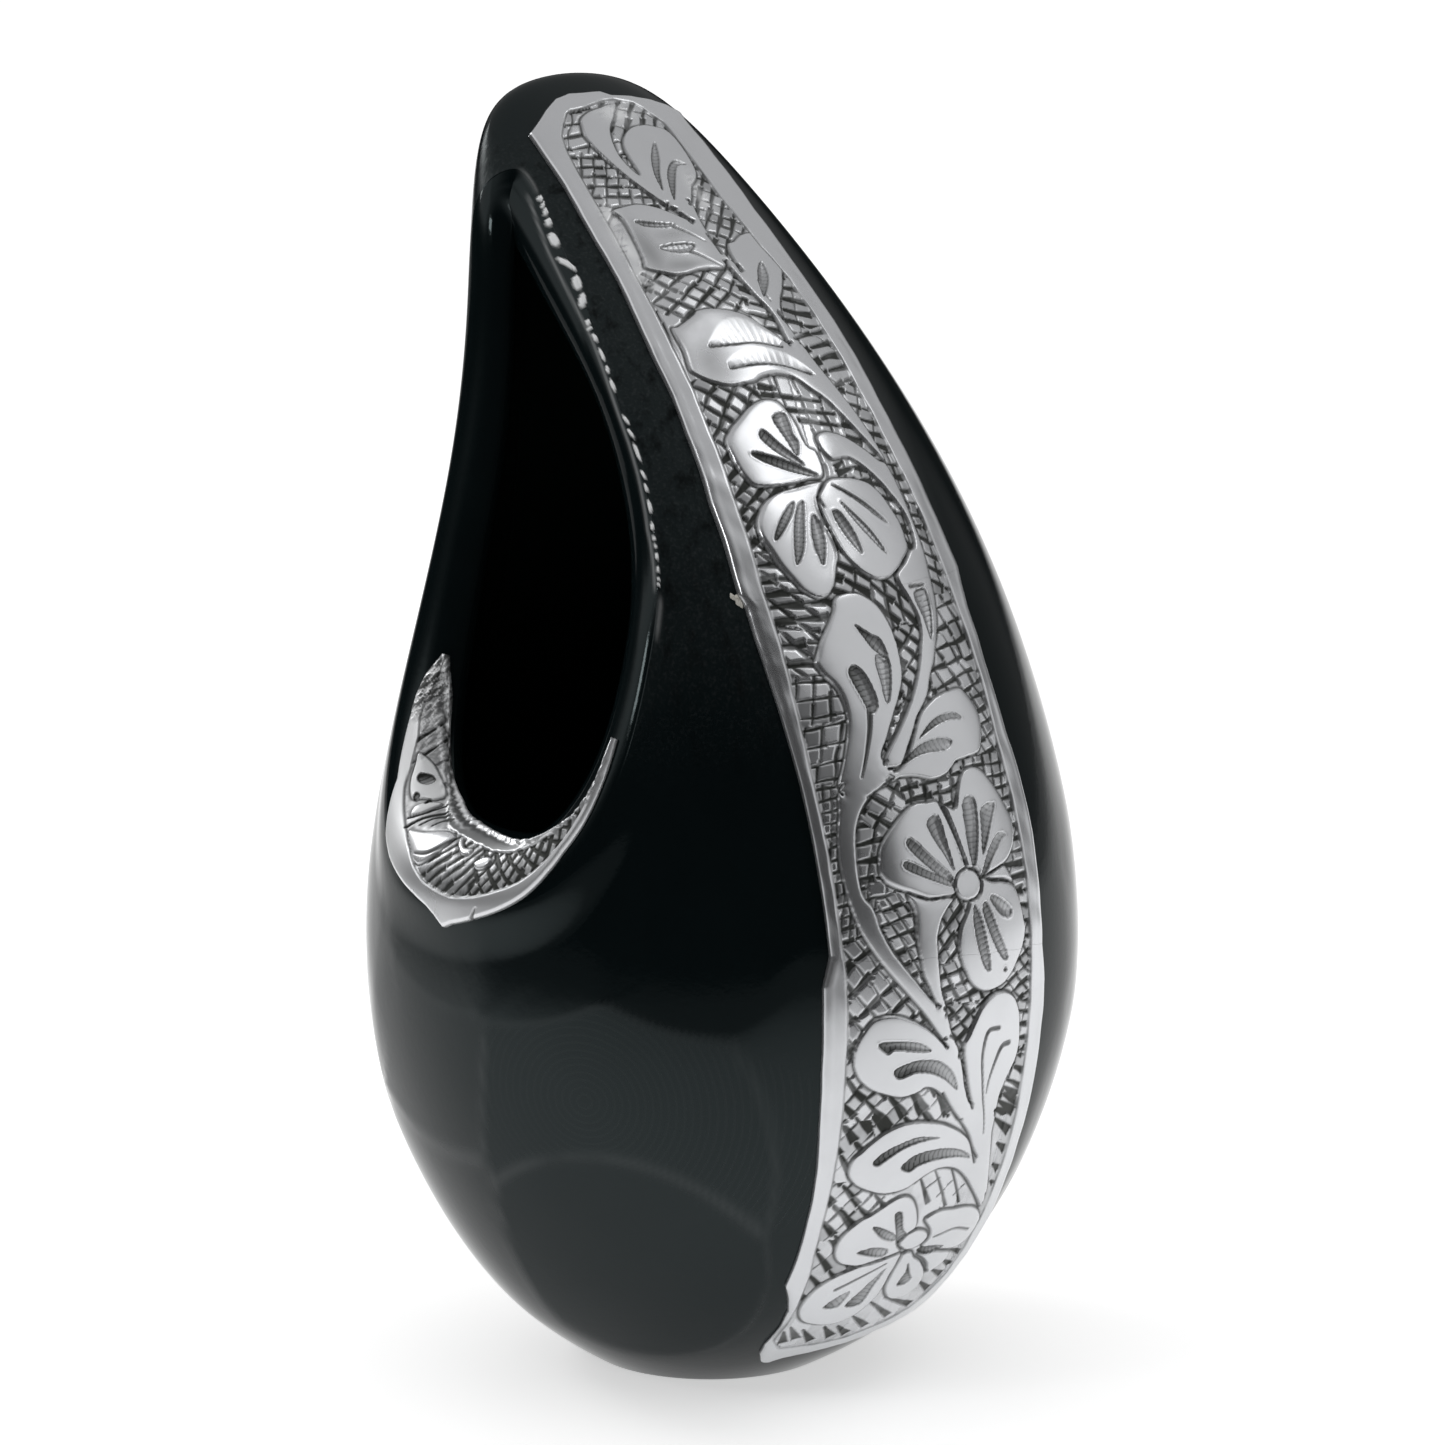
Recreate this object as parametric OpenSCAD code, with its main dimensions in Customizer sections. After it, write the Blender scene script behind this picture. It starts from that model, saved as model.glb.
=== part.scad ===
// Leaning teardrop pot of black clay with a side mouth,
// engraved metal sheets along the spine and on the lower lip.
// Millimetres. Foot centre at the origin, +Z up,
// the metal spine on +X, the mouth on -Y.

/* [Pot] */
// Height from the foot to the peak
height = 198; // [170:1:230]
// Width of the round belly
belly_width = 112; // [100:1:125]
// How far the peak leans back from the foot centre
peak_lean = 36; // [24:1:42]

/* [Mouth] */
// How far the lowest part of the lip rolls into the mouth
lip_roll = 11.2; // [8:0.2:12]
// How deep the lowest part of the lip rolls down inside
lip_drop = 10.4; // [9:0.2:11.4]
// How far the sides of the lip roll into the mouth
side_roll = 4.8; // [4.2:0.2:5.4]

/* [Metal sheets] */
// Thickness of the engraved metal sheet
sheet_thickness = 0.6; // [0.4:0.1:1]
// Thickness of the adhesive bed under a sheet
bed_thickness = 0.4; // [0.3:0.1:0.6]
// Width of the spine band against the normal width
band_width = 1; // [0.85:0.05:1.15]
// Gap between two neighbouring sheets of the spine
sheet_gap = 0.4; // [0.2:0.1:1]

/* [Facets] */
// Number of facets around the mouth
around = 72; // [56:4:72]

/* [Hidden] */

kz = height / 198;
kw = belly_width / 112;
kc = peak_lean / 36;

// control rows of the outside: height, centre, half width, half depth
OUT = [for (r = [[-15, -4, -10, -10], [0, 0.5, 21.5, 21.5], [15, 2, 39.5, 40],
                 [40, 2.5, 52.5, 53], [66, 3, 57.5, 57.5], [92, 3.5, 53, 54],
                 [118, 2, 43.5, 47.5], [142, -3, 33, 40], [164, -13.5, 22.5, 32],
                 [182, -26, 12.5, 24.5], [194, -34.5, 5.5, 17], [198, -36, 1, 6.5]])
       [r[0] * kz, r[1] * kc, r[2] * kw, r[3] * kw]];
// control rows of the hollow
INN = [for (r = [[-8, -3, -10, -10], [6, 0.5, 16, 16], [20, 2, 36, 36.5],
                 [42, 2.5, 48, 48.5], [67, 3, 52.5, 52.5], [92, 3.5, 48, 49],
                 [117, 2, 38.5, 42.5], [140, -3, 28, 35], [160, -13.5, 17.5, 27],
                 [175, -25, 9, 20], [185, -32, 4, 13], [188, -33.5, 1, 5]])
       [r[0] * kz, r[1] * kc, r[2] * kw, r[3] * kw]];
// control points of the mouth rim: height and angle about the pot
RIM = [for (r = [[80, -90], [81.5, -74], [88, -63], [101, -54], [118, -48],
                 [136, -41.5], [153, -46], [168, -45.8], [184.4, -51.6], [186, -62.3],
                 [183, -91], [175.3, -113], [163, -124], [147, -127], [128, -126],
                 [109, -124], [92.5, -117], [82.5, -105]])
       [r[0] * kz, r[1]]];
// half angle of the spine band at the same control rows as the outside
BAND = [21, 22, 23, 23, 21.5, 21, 23.5, 27, 31.5, 38.5, 50, 30];

u_end = len(OUT) - 1.5;
psi0 = 24;
mouth_z = 126 * kz;
mouth_a = -84;

rows_out = 34;
rows_in = 20;
lip_a = 6;
lip_b = 4;
lip_c = 3;

function unit(v) = v / norm(v);
function flip(v) = is_list(v) ? [v[0], v[1], -v[2], -v[3]] : v;
function ctrl(c, i) = i < len(c) ? c[i] : flip(c[2 * len(c) - 1 - i]);
function mix4(a, b, c, d, t) =
    (pow(1 - t, 3) * a + (3 * pow(t, 3) - 6 * t * t + 4) * b
     + (-3 * pow(t, 3) + 3 * t * t + 3 * t + 1) * c + pow(t, 3) * d) / 6;
function section(c, u) = let (k = min(max(floor(u), 0), len(c) - 2))
    mix4(ctrl(c, k), ctrl(c, k + 1), ctrl(c, k + 2), ctrl(c, k + 3), u - k);
function loop_at(c, x) = let (n = len(c), k = floor(x))
    mix4(c[(k - 1 + n) % n], c[k % n], c[(k + 1) % n], c[(k + 2) % n], x - k);

// point and outward direction on a skin at row u and angle f
function skin(c, u, f) = let (s = section(c, u)) [s[1] + s[2] * cos(f), s[3] * sin(f), s[0]];
function out_dir(c, u, f) =
    let (s = section(c, u), h = 0.01,
         d = section(c, min(u + h, u_end)) - section(c, max(u - h, 0)))
    unit(cross([-s[2] * sin(f), s[3] * cos(f), 0],
               [d[1] + d[2] * cos(f), d[3] * sin(f), d[0]]));
function row_of(z, lo = 0, hi = u_end, n = 32) = n == 0 ? (lo + hi) / 2 :
    let (m = (lo + hi) / 2)
    section(OUT, m)[0] < z ? row_of(z, m, hi, n - 1) : row_of(z, lo, m, n - 1);

// flat map of the skin that runs from the foot ring to the mouth rim
function inv(a) = [a[0], -a[1]] / (a[0] * a[0] + a[1] * a[1]);
function to_map(u, f) = tan((psi0 + (180 - psi0) * u / u_end) / 2) * [cos(f), sin(f)];
function from_map(w) = [min(max((2 * atan(norm(w)) - psi0) / (180 - psi0), 0), 0.99999) * u_end,
                        atan2(w[1], w[0])];

rim = [for (i = [0 : around - 1]) let (q = loop_at(RIM, i * len(RIM) / around)) [row_of(q[0]), q[1]]];
map_m = to_map(row_of(mouth_z), mouth_a);
foot_r = tan(psi0 / 2);
map_k = map_m * map_m - foot_r * foot_r;
map_c = [-map_m[0], map_m[1]] / map_k;
map_r = foot_r / map_k;
ray = [for (q = rim) inv(to_map(q[0], q[1]) - map_m) - map_c];
function grid_at(s, j) = let (r = norm(ray[j]))
    from_map(map_m + inv(map_c + ray[j] / r * map_r * pow(r / map_r, s)));

// the rolled lip
rim_p = [for (q = rim) skin(OUT, q[0], q[1])];
rim_n = [for (q = rim) out_dir(OUT, q[0], q[1])];
rim_e = [for (j = [0 : around - 1])
    unit(cross(rim_n[j], rim_p[(j + 1) % around] - rim_p[(j + around - 1) % around]))];
function low(j) = pow(max(0, cos(360 * j / around)), 2);
function high(j) = pow(max(0, -cos(360 * j / around)), 2);
// a bell round place t of the rim, w wide
function bell(j, t, w) = exp(-pow((j / around - t) / w, 2));
function roll(j) = side_roll + (lip_roll - side_roll) * low(j)
    - 2.4 * bell(j, 0.333, 0.055) + bell(j, 0.49, 0.06);
function drop(j) = 6.8 + (lip_drop - 6.8) * low(j) - 2.6 * high(j) - 2.9 * bell(j, 0.335, 0.06);
function lip_thick(j) = min(4, 0.7 * roll(j));
function lip_out(j, a) = rim_p[j] + roll(j) * sin(a) * rim_e[j] - drop(j) * (1 - cos(a)) * rim_n[j];
function lip_end(j, a) = let (t = lip_thick(j) / 2)
    rim_p[j] + (roll(j) - t + t * cos(a)) * rim_e[j] - (drop(j) + t * sin(a)) * rim_n[j];
function lip_in(j, t) =
    let (p = lip_end(j, 180), q = skin(INN, rim[j][0], rim[j][1]),
         m = out_dir(INN, rim[j][0], rim[j][1]),
         e = unit(rim_e[j] - (rim_e[j] * m) * m),
         p1 = p + rim_n[j] * 0.55 * max((q - p) * rim_n[j], 0.2),
         q1 = q + e * 0.55 * max((p - q) * e, 0.3))
    pow(1 - t, 3) * p + 3 * t * pow(1 - t, 2) * p1 + 3 * t * t * (1 - t) * q1 + pow(t, 3) * q;

body_rings = concat(
    [for (i = [0 : rows_out]) [for (j = [0 : around - 1])
        let (g = grid_at(i / rows_out, j)) skin(OUT, g[0], g[1])]],
    [for (i = [1 : lip_a]) [for (j = [0 : around - 1]) lip_out(j, 90 * i / lip_a)]],
    [for (i = [1 : lip_b]) [for (j = [0 : around - 1]) lip_end(j, 180 * i / lip_b)]],
    [for (i = [1 : lip_c]) [for (j = [0 : around - 1]) lip_in(j, i / lip_c)]],
    [for (i = [1 : rows_in]) [for (j = [0 : around - 1])
        let (g = grid_at(1 - i / rows_in, j)) skin(INN, g[0], g[1])]]);

// closed skin made of rings, with a flat middle point at both ends
module ring_solid(rings) {
    n = len(rings[0]);
    m = len(rings);
    function mid(r) = [for (p = r) 1] * r / len(r);
    pts = concat([for (r = rings) each r], [mid(rings[0]), mid(rings[m - 1])]);
    polyhedron(points = pts, faces = concat(
        [for (i = [0 : m - 2]) for (j = [0 : n - 1]) let (k = (j + 1) % n)
            each [[i * n + j, (i + 1) * n + j, (i + 1) * n + k],
                  [i * n + j, (i + 1) * n + k, i * n + k]]],
        [for (j = [0 : n - 1]) [m * n, j, (j + 1) % n]],
        [for (j = [0 : n - 1]) [m * n + 1, (m - 1) * n + (j + 1) % n, (m - 1) * n + j]]));
}

// thin closed plate between two equal grids
module plate(top, bot) {
    m = len(top);
    n = len(top[0]);
    q = m * n;
    edge = concat([for (j = [0 : n - 2]) j], [for (i = [0 : m - 2]) i * n + n - 1],
                  [for (j = [n - 1 : -1 : 1]) (m - 1) * n + j], [for (i = [m - 1 : -1 : 1]) i * n]);
    polyhedron(points = concat([for (r = top) each r], [for (r = bot) each r]), faces = concat(
        [for (i = [0 : m - 2]) for (j = [0 : n - 2]) let (a = i * n + j)
            each [[a, a + n, a + n + 1], [a, a + n + 1, a + 1],
                  [q + a, q + a + n + 1, q + a + n], [q + a, q + a + 1, q + a + n + 1]]],
        [for (k = [0 : len(edge) - 1]) let (a = edge[k], b = edge[(k + 1) % len(edge)])
            each [[a, b, q + b], [a, q + b, q + a]]]));
}

// spine sheets: from row u0 to u1, lifted off the clay by h
spine_cols = 12;
function band_half(u) = band_width * section(BAND, u);
function spine_grid(u0, u1, m, h, k) = [for (i = [0 : m]) let (u = u0 + (u1 - u0) * i / m, w = k * band_half(u))
    [for (j = [0 : spine_cols]) let (f = w * (2 * j / spine_cols - 1))
        skin(OUT, u, f) + h * out_dir(OUT, u, f)]];
module spine_plate(z0, z1, m, h0, h1, k = 1) {
    a = row_of(z0);
    b = row_of(z1);
    plate(spine_grid(a, b, m, h1, k), spine_grid(a, b, m, h0, k));
}

// lip sheet: from the right end to the left end of the crescent
lip_cols = 8;
lip_first = round(around * 0.19);
lip_last = round(-around * 0.19);
lip_n = lip_first - lip_last;
function lip_j(i) = (lip_first - i + around) % around;
// edges of the crescent: a corner below the lip, a narrow right end
function lip_side(i) = (lip_first - i) / around;
function lip_edge(i) = let (s = lip_side(i))
    -22 * max(0, 1 - abs(s - 0.009) / 0.06)
    + (s > 0 ? 22 * pow(s / 0.19, 2) : 62 * pow(-s / 0.19, 3));
function lip_top(i) = let (s = lip_side(i)) 84 - (s > 0 ? 54 * s : -8 * s) / 0.19;
// x below 0 lies on the outside skin, above 0 on the rolled lip
function lip_point(j, x, h) = x < 0
    ? rim_p[j] + x / 6 * rim_e[j] - x * x / 3240 * rim_n[j] + h * rim_n[j]
    : lip_out(j, x) + h * unit(rim_e[j] * drop(j) * sin(x) + rim_n[j] * roll(j) * cos(x));
function lip_grid(h, m = 0) = [for (i = [sign(m) : lip_n - sign(m)])
    let (a = lip_edge(i), b = lip_top(i))
    [for (k = [0 : lip_cols]) lip_point(lip_j(i), a + (b - a) * (m + (1 - 2 * m) * k / lip_cols), h)]];

module clay_body() color([0.05, 0.05, 0.06]) ring_solid(body_rings);

bed0 = 0.05;
bed1 = bed0 + bed_thickness;
top1 = bed1 + sheet_thickness;
cut_low = 75 * kz;
cut_high = 127 * kz;
half_gap = sheet_gap / 2;
// the beds stop a little short of the sheet edges
bed_in = 0.8;
bed_k = 0.95;
bed_lip = 0.08;
band_z0 = 7 * kz;
band_z1 = 194.5 * kz;

module spine_bed_lower() color([0.75, 0.74, 0.68]) spine_plate(band_z0 + bed_in, cut_low - half_gap - bed_in, 15, bed0, bed1, bed_k);
module spine_bed_middle() color([0.75, 0.74, 0.68]) spine_plate(cut_low + half_gap + bed_in, cut_high - half_gap - bed_in, 11, bed0, bed1, bed_k);
module spine_bed_upper() color([0.75, 0.74, 0.68]) spine_plate(cut_high + half_gap + bed_in, band_z1 - bed_in, 17, bed0, bed1, bed_k);
module spine_sheet_lower() color([0.75, 0.76, 0.78]) spine_plate(band_z0, cut_low - half_gap, 15, bed1, top1);
module spine_sheet_middle() color([0.75, 0.76, 0.78]) spine_plate(cut_low + half_gap, cut_high - half_gap, 11, bed1, top1);
module spine_sheet_upper() color([0.75, 0.76, 0.78]) spine_plate(cut_high + half_gap, band_z1, 17, bed1, top1);
module lip_bed() color([0.75, 0.74, 0.68]) plate(lip_grid(bed1, bed_lip), lip_grid(bed0, bed_lip));
module lip_sheet() color([0.75, 0.76, 0.78]) plate(lip_grid(top1), lip_grid(bed1));

clay_body();
spine_bed_lower();
spine_bed_middle();
spine_bed_upper();
lip_bed();
spine_sheet_lower();
spine_sheet_middle();
spine_sheet_upper();
lip_sheet();
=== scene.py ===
# Looks of the black clay pot around its CAD frame: leaning teardrop vessel with
# a side mouth, engraved metal sheets along the spine and on the lower lip.
import math
import bpy
import numpy as np
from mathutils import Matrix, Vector


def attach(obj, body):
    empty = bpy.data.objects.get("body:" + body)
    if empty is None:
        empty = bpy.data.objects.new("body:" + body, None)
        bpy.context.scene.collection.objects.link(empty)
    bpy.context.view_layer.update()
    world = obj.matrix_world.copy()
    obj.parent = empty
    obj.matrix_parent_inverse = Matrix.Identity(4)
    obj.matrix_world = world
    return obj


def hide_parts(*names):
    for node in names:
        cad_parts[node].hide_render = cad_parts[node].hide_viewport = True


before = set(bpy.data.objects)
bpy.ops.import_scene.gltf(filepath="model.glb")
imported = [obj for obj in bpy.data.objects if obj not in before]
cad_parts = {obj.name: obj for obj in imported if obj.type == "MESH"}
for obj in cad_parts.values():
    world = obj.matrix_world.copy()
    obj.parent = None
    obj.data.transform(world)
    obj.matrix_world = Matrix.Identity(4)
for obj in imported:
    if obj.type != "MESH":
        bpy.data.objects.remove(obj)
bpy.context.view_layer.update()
MM = 0.001

# ---------------------------------------------------------------- pot shape
# control rows of the outside and of the hollow: height, centre, half width, half depth (mm)
OUT = np.array([[-15, -4, -10, -10], [0, 0.5, 21.5, 21.5], [15, 2, 39.5, 40], [40, 2.5, 52.5, 53],
                [66, 3, 57.5, 57.5], [92, 3.5, 53, 54], [118, 2, 43.5, 47.5], [142, -3, 33, 40],
                [164, -13.5, 22.5, 32], [182, -26, 12.5, 24.5], [194, -34.5, 5.5, 17], [198, -36, 1, 6.5]], float)
INN = np.array([[-8, -3, -10, -10], [6, 0.5, 16, 16], [20, 2, 36, 36.5], [42, 2.5, 48, 48.5],
                [67, 3, 52.5, 52.5], [92, 3.5, 48, 49], [117, 2, 38.5, 42.5], [140, -3, 28, 35],
                [160, -13.5, 17.5, 27], [175, -25, 9, 20], [185, -32, 4, 13], [188, -33.5, 1, 5]], float)
# mouth rim: height and angle about the pot, from the lowest point of the lip
RIM = np.array([[80, -90], [81.5, -74], [88, -63], [101, -54], [118, -48], [136, -41.5], [153, -46],
                [168, -45.8], [184.4, -51.6], [186, -62.3], [183, -91], [175.3, -113], [163, -124], [147, -127],
                [128, -126], [109, -124], [92.5, -117], [82.5, -105]], float)
U_END = len(OUT) - 1.5
PSI0 = math.radians(24)


def rows_at(ctrl, u):
    flip = np.array([1, 1, -1, -1.0])
    c = np.vstack([ctrl, ctrl[-1] * flip, ctrl[-2] * flip])
    u = np.asarray(u, float)
    k = np.clip(np.floor(u).astype(int), 0, len(c) - 4)
    t = (u - k)[..., None]
    return ((1 - t) ** 3 * c[k] + (3 * t ** 3 - 6 * t ** 2 + 4) * c[k + 1]
            + (-3 * t ** 3 + 3 * t ** 2 + 3 * t + 1) * c[k + 2] + t ** 3 * c[k + 3]) / 6


def skin(ctrl, u, f):
    r = rows_at(ctrl, u)
    return np.stack([r[..., 1] + r[..., 2] * np.cos(f), r[..., 3] * np.sin(f), r[..., 0]], -1)


def unit(v):
    return v / np.maximum(np.linalg.norm(v, axis=-1, keepdims=True), 1e-12)


def out_dir(ctrl, u, f):
    h = 0.01
    du = skin(ctrl, np.minimum(u + h, U_END), f) - skin(ctrl, np.maximum(u - h, 0), f)
    r = rows_at(ctrl, u)
    df = np.stack([-r[..., 2] * np.sin(f), r[..., 3] * np.cos(f), 0 * f], -1)
    return unit(np.cross(df, du))


U_TAB = np.linspace(0, U_END - 1e-4, 4000)
Z_TAB = rows_at(OUT, U_TAB)[:, 0]
S_TAB = skin(OUT, U_TAB, 0 * U_TAB)
S_TAB = np.concatenate([[0], np.cumsum(np.linalg.norm(np.diff(S_TAB, axis=0), axis=1))])
S_ZERO = np.interp(7.0, Z_TAB, S_TAB)


def row_of_z(z):
    return np.interp(z, Z_TAB, U_TAB)


def row_of_s(s):
    return np.interp(s + S_ZERO, S_TAB, U_TAB)


def smooth(a, b, x):
    t = np.clip((x - a) / (b - a), 0, 1)
    return t * t * (3 - 2 * t)


# flat map of the skin that runs from the foot ring to the mouth rim
def to_map(u, f):
    return np.tan((PSI0 + (np.pi - PSI0) * u / U_END) / 2) * np.exp(1j * f)


def from_map(w):
    return np.clip((2 * np.arctan(np.abs(w)) - PSI0) / (np.pi - PSI0), 0, 1 - 1e-7) * U_END, np.angle(w)


def loop_at(c, t):
    n = len(c)
    x = t * n
    k = np.floor(x).astype(int)
    f = (x - k)[:, None]
    return ((1 - f) ** 3 * c[(k - 1) % n] + (3 * f ** 3 - 6 * f ** 2 + 4) * c[k % n]
            + (-3 * f ** 3 + 3 * f ** 2 + 3 * f + 1) * c[(k + 1) % n] + f ** 3 * c[(k + 2) % n]) / 6


class Rim:
    def __init__(self, t):
        self.t = t
        q = loop_at(RIM, self.t)
        self.u = row_of_z(q[:, 0])
        self.f = np.radians(q[:, 1])
        self.p = skin(OUT, self.u, self.f)
        self.n = out_dir(OUT, self.u, self.f)
        self.e = unit(np.cross(self.n, np.roll(self.p, -1, 0) - np.roll(self.p, 1, 0)))
        c = np.cos(2 * np.pi * self.t)
        low, high = np.maximum(0, c) ** 2, np.maximum(0, -c) ** 2
        bell = lambda t, w: np.exp(-((self.t - t) / w) ** 2)
        self.roll = 4.8 + 6.4 * low - 2.4 * bell(0.333, 0.055) + bell(0.49, 0.06)
        self.drop = 6.8 + 3.6 * low - 2.6 * high - 2.9 * bell(0.335, 0.06)


def map_grid(rim, rows):
    # rows from the foot ring (0) to the rim (1)
    wm = to_map(row_of_z(126.0), math.radians(-84))
    r0 = math.tan(PSI0 / 2)
    a = -wm
    k = abs(a) ** 2 - r0 * r0
    cen, rho = np.conj(a) / k, r0 / k
    w = 1 / (to_map(rim.u, rim.f) - wm) - cen
    g = cen + np.exp(1j * np.angle(w))[None] * rho * (np.abs(w) / rho)[None] ** rows[:, None]
    return from_map(wm + 1 / g)


# soft planished facets of the belly: height, angle, depth of the flat, how flat it is and how clear its edges are
FACETS = [(43.4, -57, 5.9, 0.22, 1.0), (52.8, -95.4, 3.6, 0.24, 1.0), (29.9, -98.2, 4.5, 0.18, 1.0),
          (26.8, -57.8, 5.05, 0.44, 1.0), (88, -46, 3.4, 0.45, 0.5), (87, -67, 3.0, 0.45, 0.5), (85, -90, 2.8, 0.45, 0.5),
          (84, -112, 2.2, 0.3, 0.0), (62, -128, 2.6, 0.3, 0.0), (96, 48, 1.8, 0.3, 0.0), (72, 50, 2.4, 0.3, 0.0),
          (44, 47, 2.4, 0.3, 0.0), (22, 50, 2.2, 0.3, 0.0), (60, 92, 3.0, 0.3, 0.0), (90, 92, 2.6, 0.3, 0.0),
          (32, 96, 2.6, 0.3, 0.0), (64, 134, 2.8, 0.3, 0.0), (94, 138, 2.4, 0.3, 0.0), (35, 142, 2.6, 0.3, 0.0),
          (60, 176, 2.8, 0.3, 0.0), (91, -178, 2.6, 0.3, 0.0), (31, -176, 2.6, 0.3, 0.0), (36, -142, 2.6, 0.3, 0.0)]


RING = skin(OUT, row_of_z(53.6), np.radians(-60.0))


def facet_cut(p):
    # how far a point of the outside moves in, how near it is to a crest between facets,
    # and how far it is from the middle of its own facet
    best, second, ring, brink, clear, clear2 = (np.zeros(p.shape[:-1]) for _ in range(6))
    for z, a, depth, flat, line in FACETS:
        u0 = row_of_z(float(z))
        a0 = math.radians(a)
        c = skin(OUT, np.array(u0), np.array(a0))
        n = out_dir(OUT, np.array(u0), np.array(a0))
        far = np.linalg.norm(p - c, axis=-1)
        x = (p - c) @ n + depth
        if z in (43.4, 26.8):
            brink = np.maximum(brink, np.exp(-(x / 0.35) ** 2) * smooth(40, 30, far))
        soft = 0.3 if line > 0 else 0.9
        x = np.where(x > -4, soft * np.logaddexp(0, np.clip(x / soft, -30, 60)), 0)
        x = x * smooth(44, 34, far) * flat
        top = x > best
        nxt = x > second
        ring = np.where(top, np.linalg.norm(p - RING, axis=-1) if z == 43.4 else 0.0, ring)
        clear2 = np.where(top, clear, np.where(nxt, line, clear2))
        clear = np.where(top, line, clear)
        second = np.where(top, best, np.maximum(second, x))
        best = np.maximum(best, x)
    part = best - second
    both = clear * clear2
    crest = np.exp(-(part / 0.1) ** 2) * smooth(0.02, 0.12, second) * smooth(0.3, 0.8, both)
    k = 0.08 + 0.25 * (1 - both)
    blend = 0.5 * (np.sqrt(part ** 2 + k ** 2) - part) * smooth(0.0, 0.15, second)
    edge = np.maximum(crest, 0.6 * brink * smooth(0.16, 0.06, best))
    return best + blend - 0.07 * crest, edge, ring


def outer(u, f, lift, row):
    # outside of the pot with its facets; the band along the spine and the rim stay plain
    p = skin(OUT, u, f)
    n = out_dir(OUT, u, f)
    away = np.abs((np.degrees(f) + 180) % 360 - 180)
    on = smooth(22, 31, away) * smooth(2, 9, p[..., 2]) * smooth(0.99, 0.9, row)
    d, crest, ring = facet_cut(p)
    return p + n * (lift - d * on)[..., None], crest * on, ring


# ---------------------------------------------------------------- engraving
# The band is drawn flat: y across (mm, + towards the back) and s along the
# spine from the foot end (mm).  All outlines were drawn.

# edges of the three sheets, as (s, y)
EDGE_L = [(-1, -11.6), (2.2, -13.3), (5.5, -14.2), (11, -14.5), (15.5, -15.3), (19, -16.7),
          (21.7, -18), (27.8, -18.4), (33.3, -18.9), (38.9, -19.4), (44.4, -20), (52, -21),
          (60.7, -21.7), (69, -21.9), (74, -21.8), (77, -21), (78.5, -20.6), (90, -20.8),
          (104, -20.9), (116, -21.2), (126, -21.4), (131.5, -21.2), (133, -21.6), (142, -20.8),
          (148, -20.5), (154, -19.7), (160, -19.2), (167, -18.4), (175, -18), (183, -17.2),
          (190, -16.4), (198, -16), (204, -15.6), (210, -15.1), (220, -14.9), (232, -14.8)]
EDGE_R = [(-1, 12), (5, 14.5), (15, 17), (25, 18.8), (31, 19.4), (40, 19.4), (50, 19.7),
          (61, 19.9), (69, 20), (74.5, 19.4), (83, 19.7), (91, 19.9), (100, 19.3), (107, 18.3),
          (116, 18), (127, 18), (131, 18.7), (133, 19.2), (140, 18.9), (148, 18.7), (160, 18.4),
          (171, 18.8), (179, 18.3), (187, 17.8), (193, 17.5), (201, 16.8), (209, 16.7),
          (215, 16.3), (222, 15.5), (232, 15.3)]
# scribed line inside the plain border, as (s, y)
FIELD_L = [(3, -12.4), (8, -13.9), (15, -14.4), (20, -15.1), (25, -15.6), (30, -16.4), (35, -16.8),
           (45, -17.5), (55, -18), (65, -18.4), (75, -18.5), (80, -18.7), (90, -19.1), (100, -19.1),
           (115, -18.9), (125, -18.3), (135, -18), (145, -17.2), (155, -16.2), (165, -15.4),
           (175, -14.6), (185, -14), (195, -13.3), (205, -12.4), (212, -12), (217, -11.4),
           (220.7, -10.6), (223.3, -9), (225.7, -7.1), (226.6, -5.6)]
FIELD_R = [(5, 11.5), (20, 14.5), (30, 15.8), (45, 15.9), (55, 15.8), (65, 15.6), (75, 15.8),
           (85, 16.2), (95, 15.6), (105, 15.1), (125, 15), (140, 14.9), (160, 14.4), (180, 14),
           (187, 13.4), (194, 11.6), (205, 10.4), (215, 9.9), (222, 9.4), (227, 6.5)]
FIELD_B = [(-14.5, 8.5), (-12, 5.4), (-7, 5.2), (-3.8, 5.4), (-1, 5.8), (1.9, 6.8), (5.6, 8.2),
           (9.8, 10), (11.7, 13), (14.5, 18)]
FIELD_T = [(-6, 226.2), (-4, 226.6), (-1.7, 227.4), (0.6, 228), (2.9, 228), (6, 227), (9.5, 223.5)]

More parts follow.
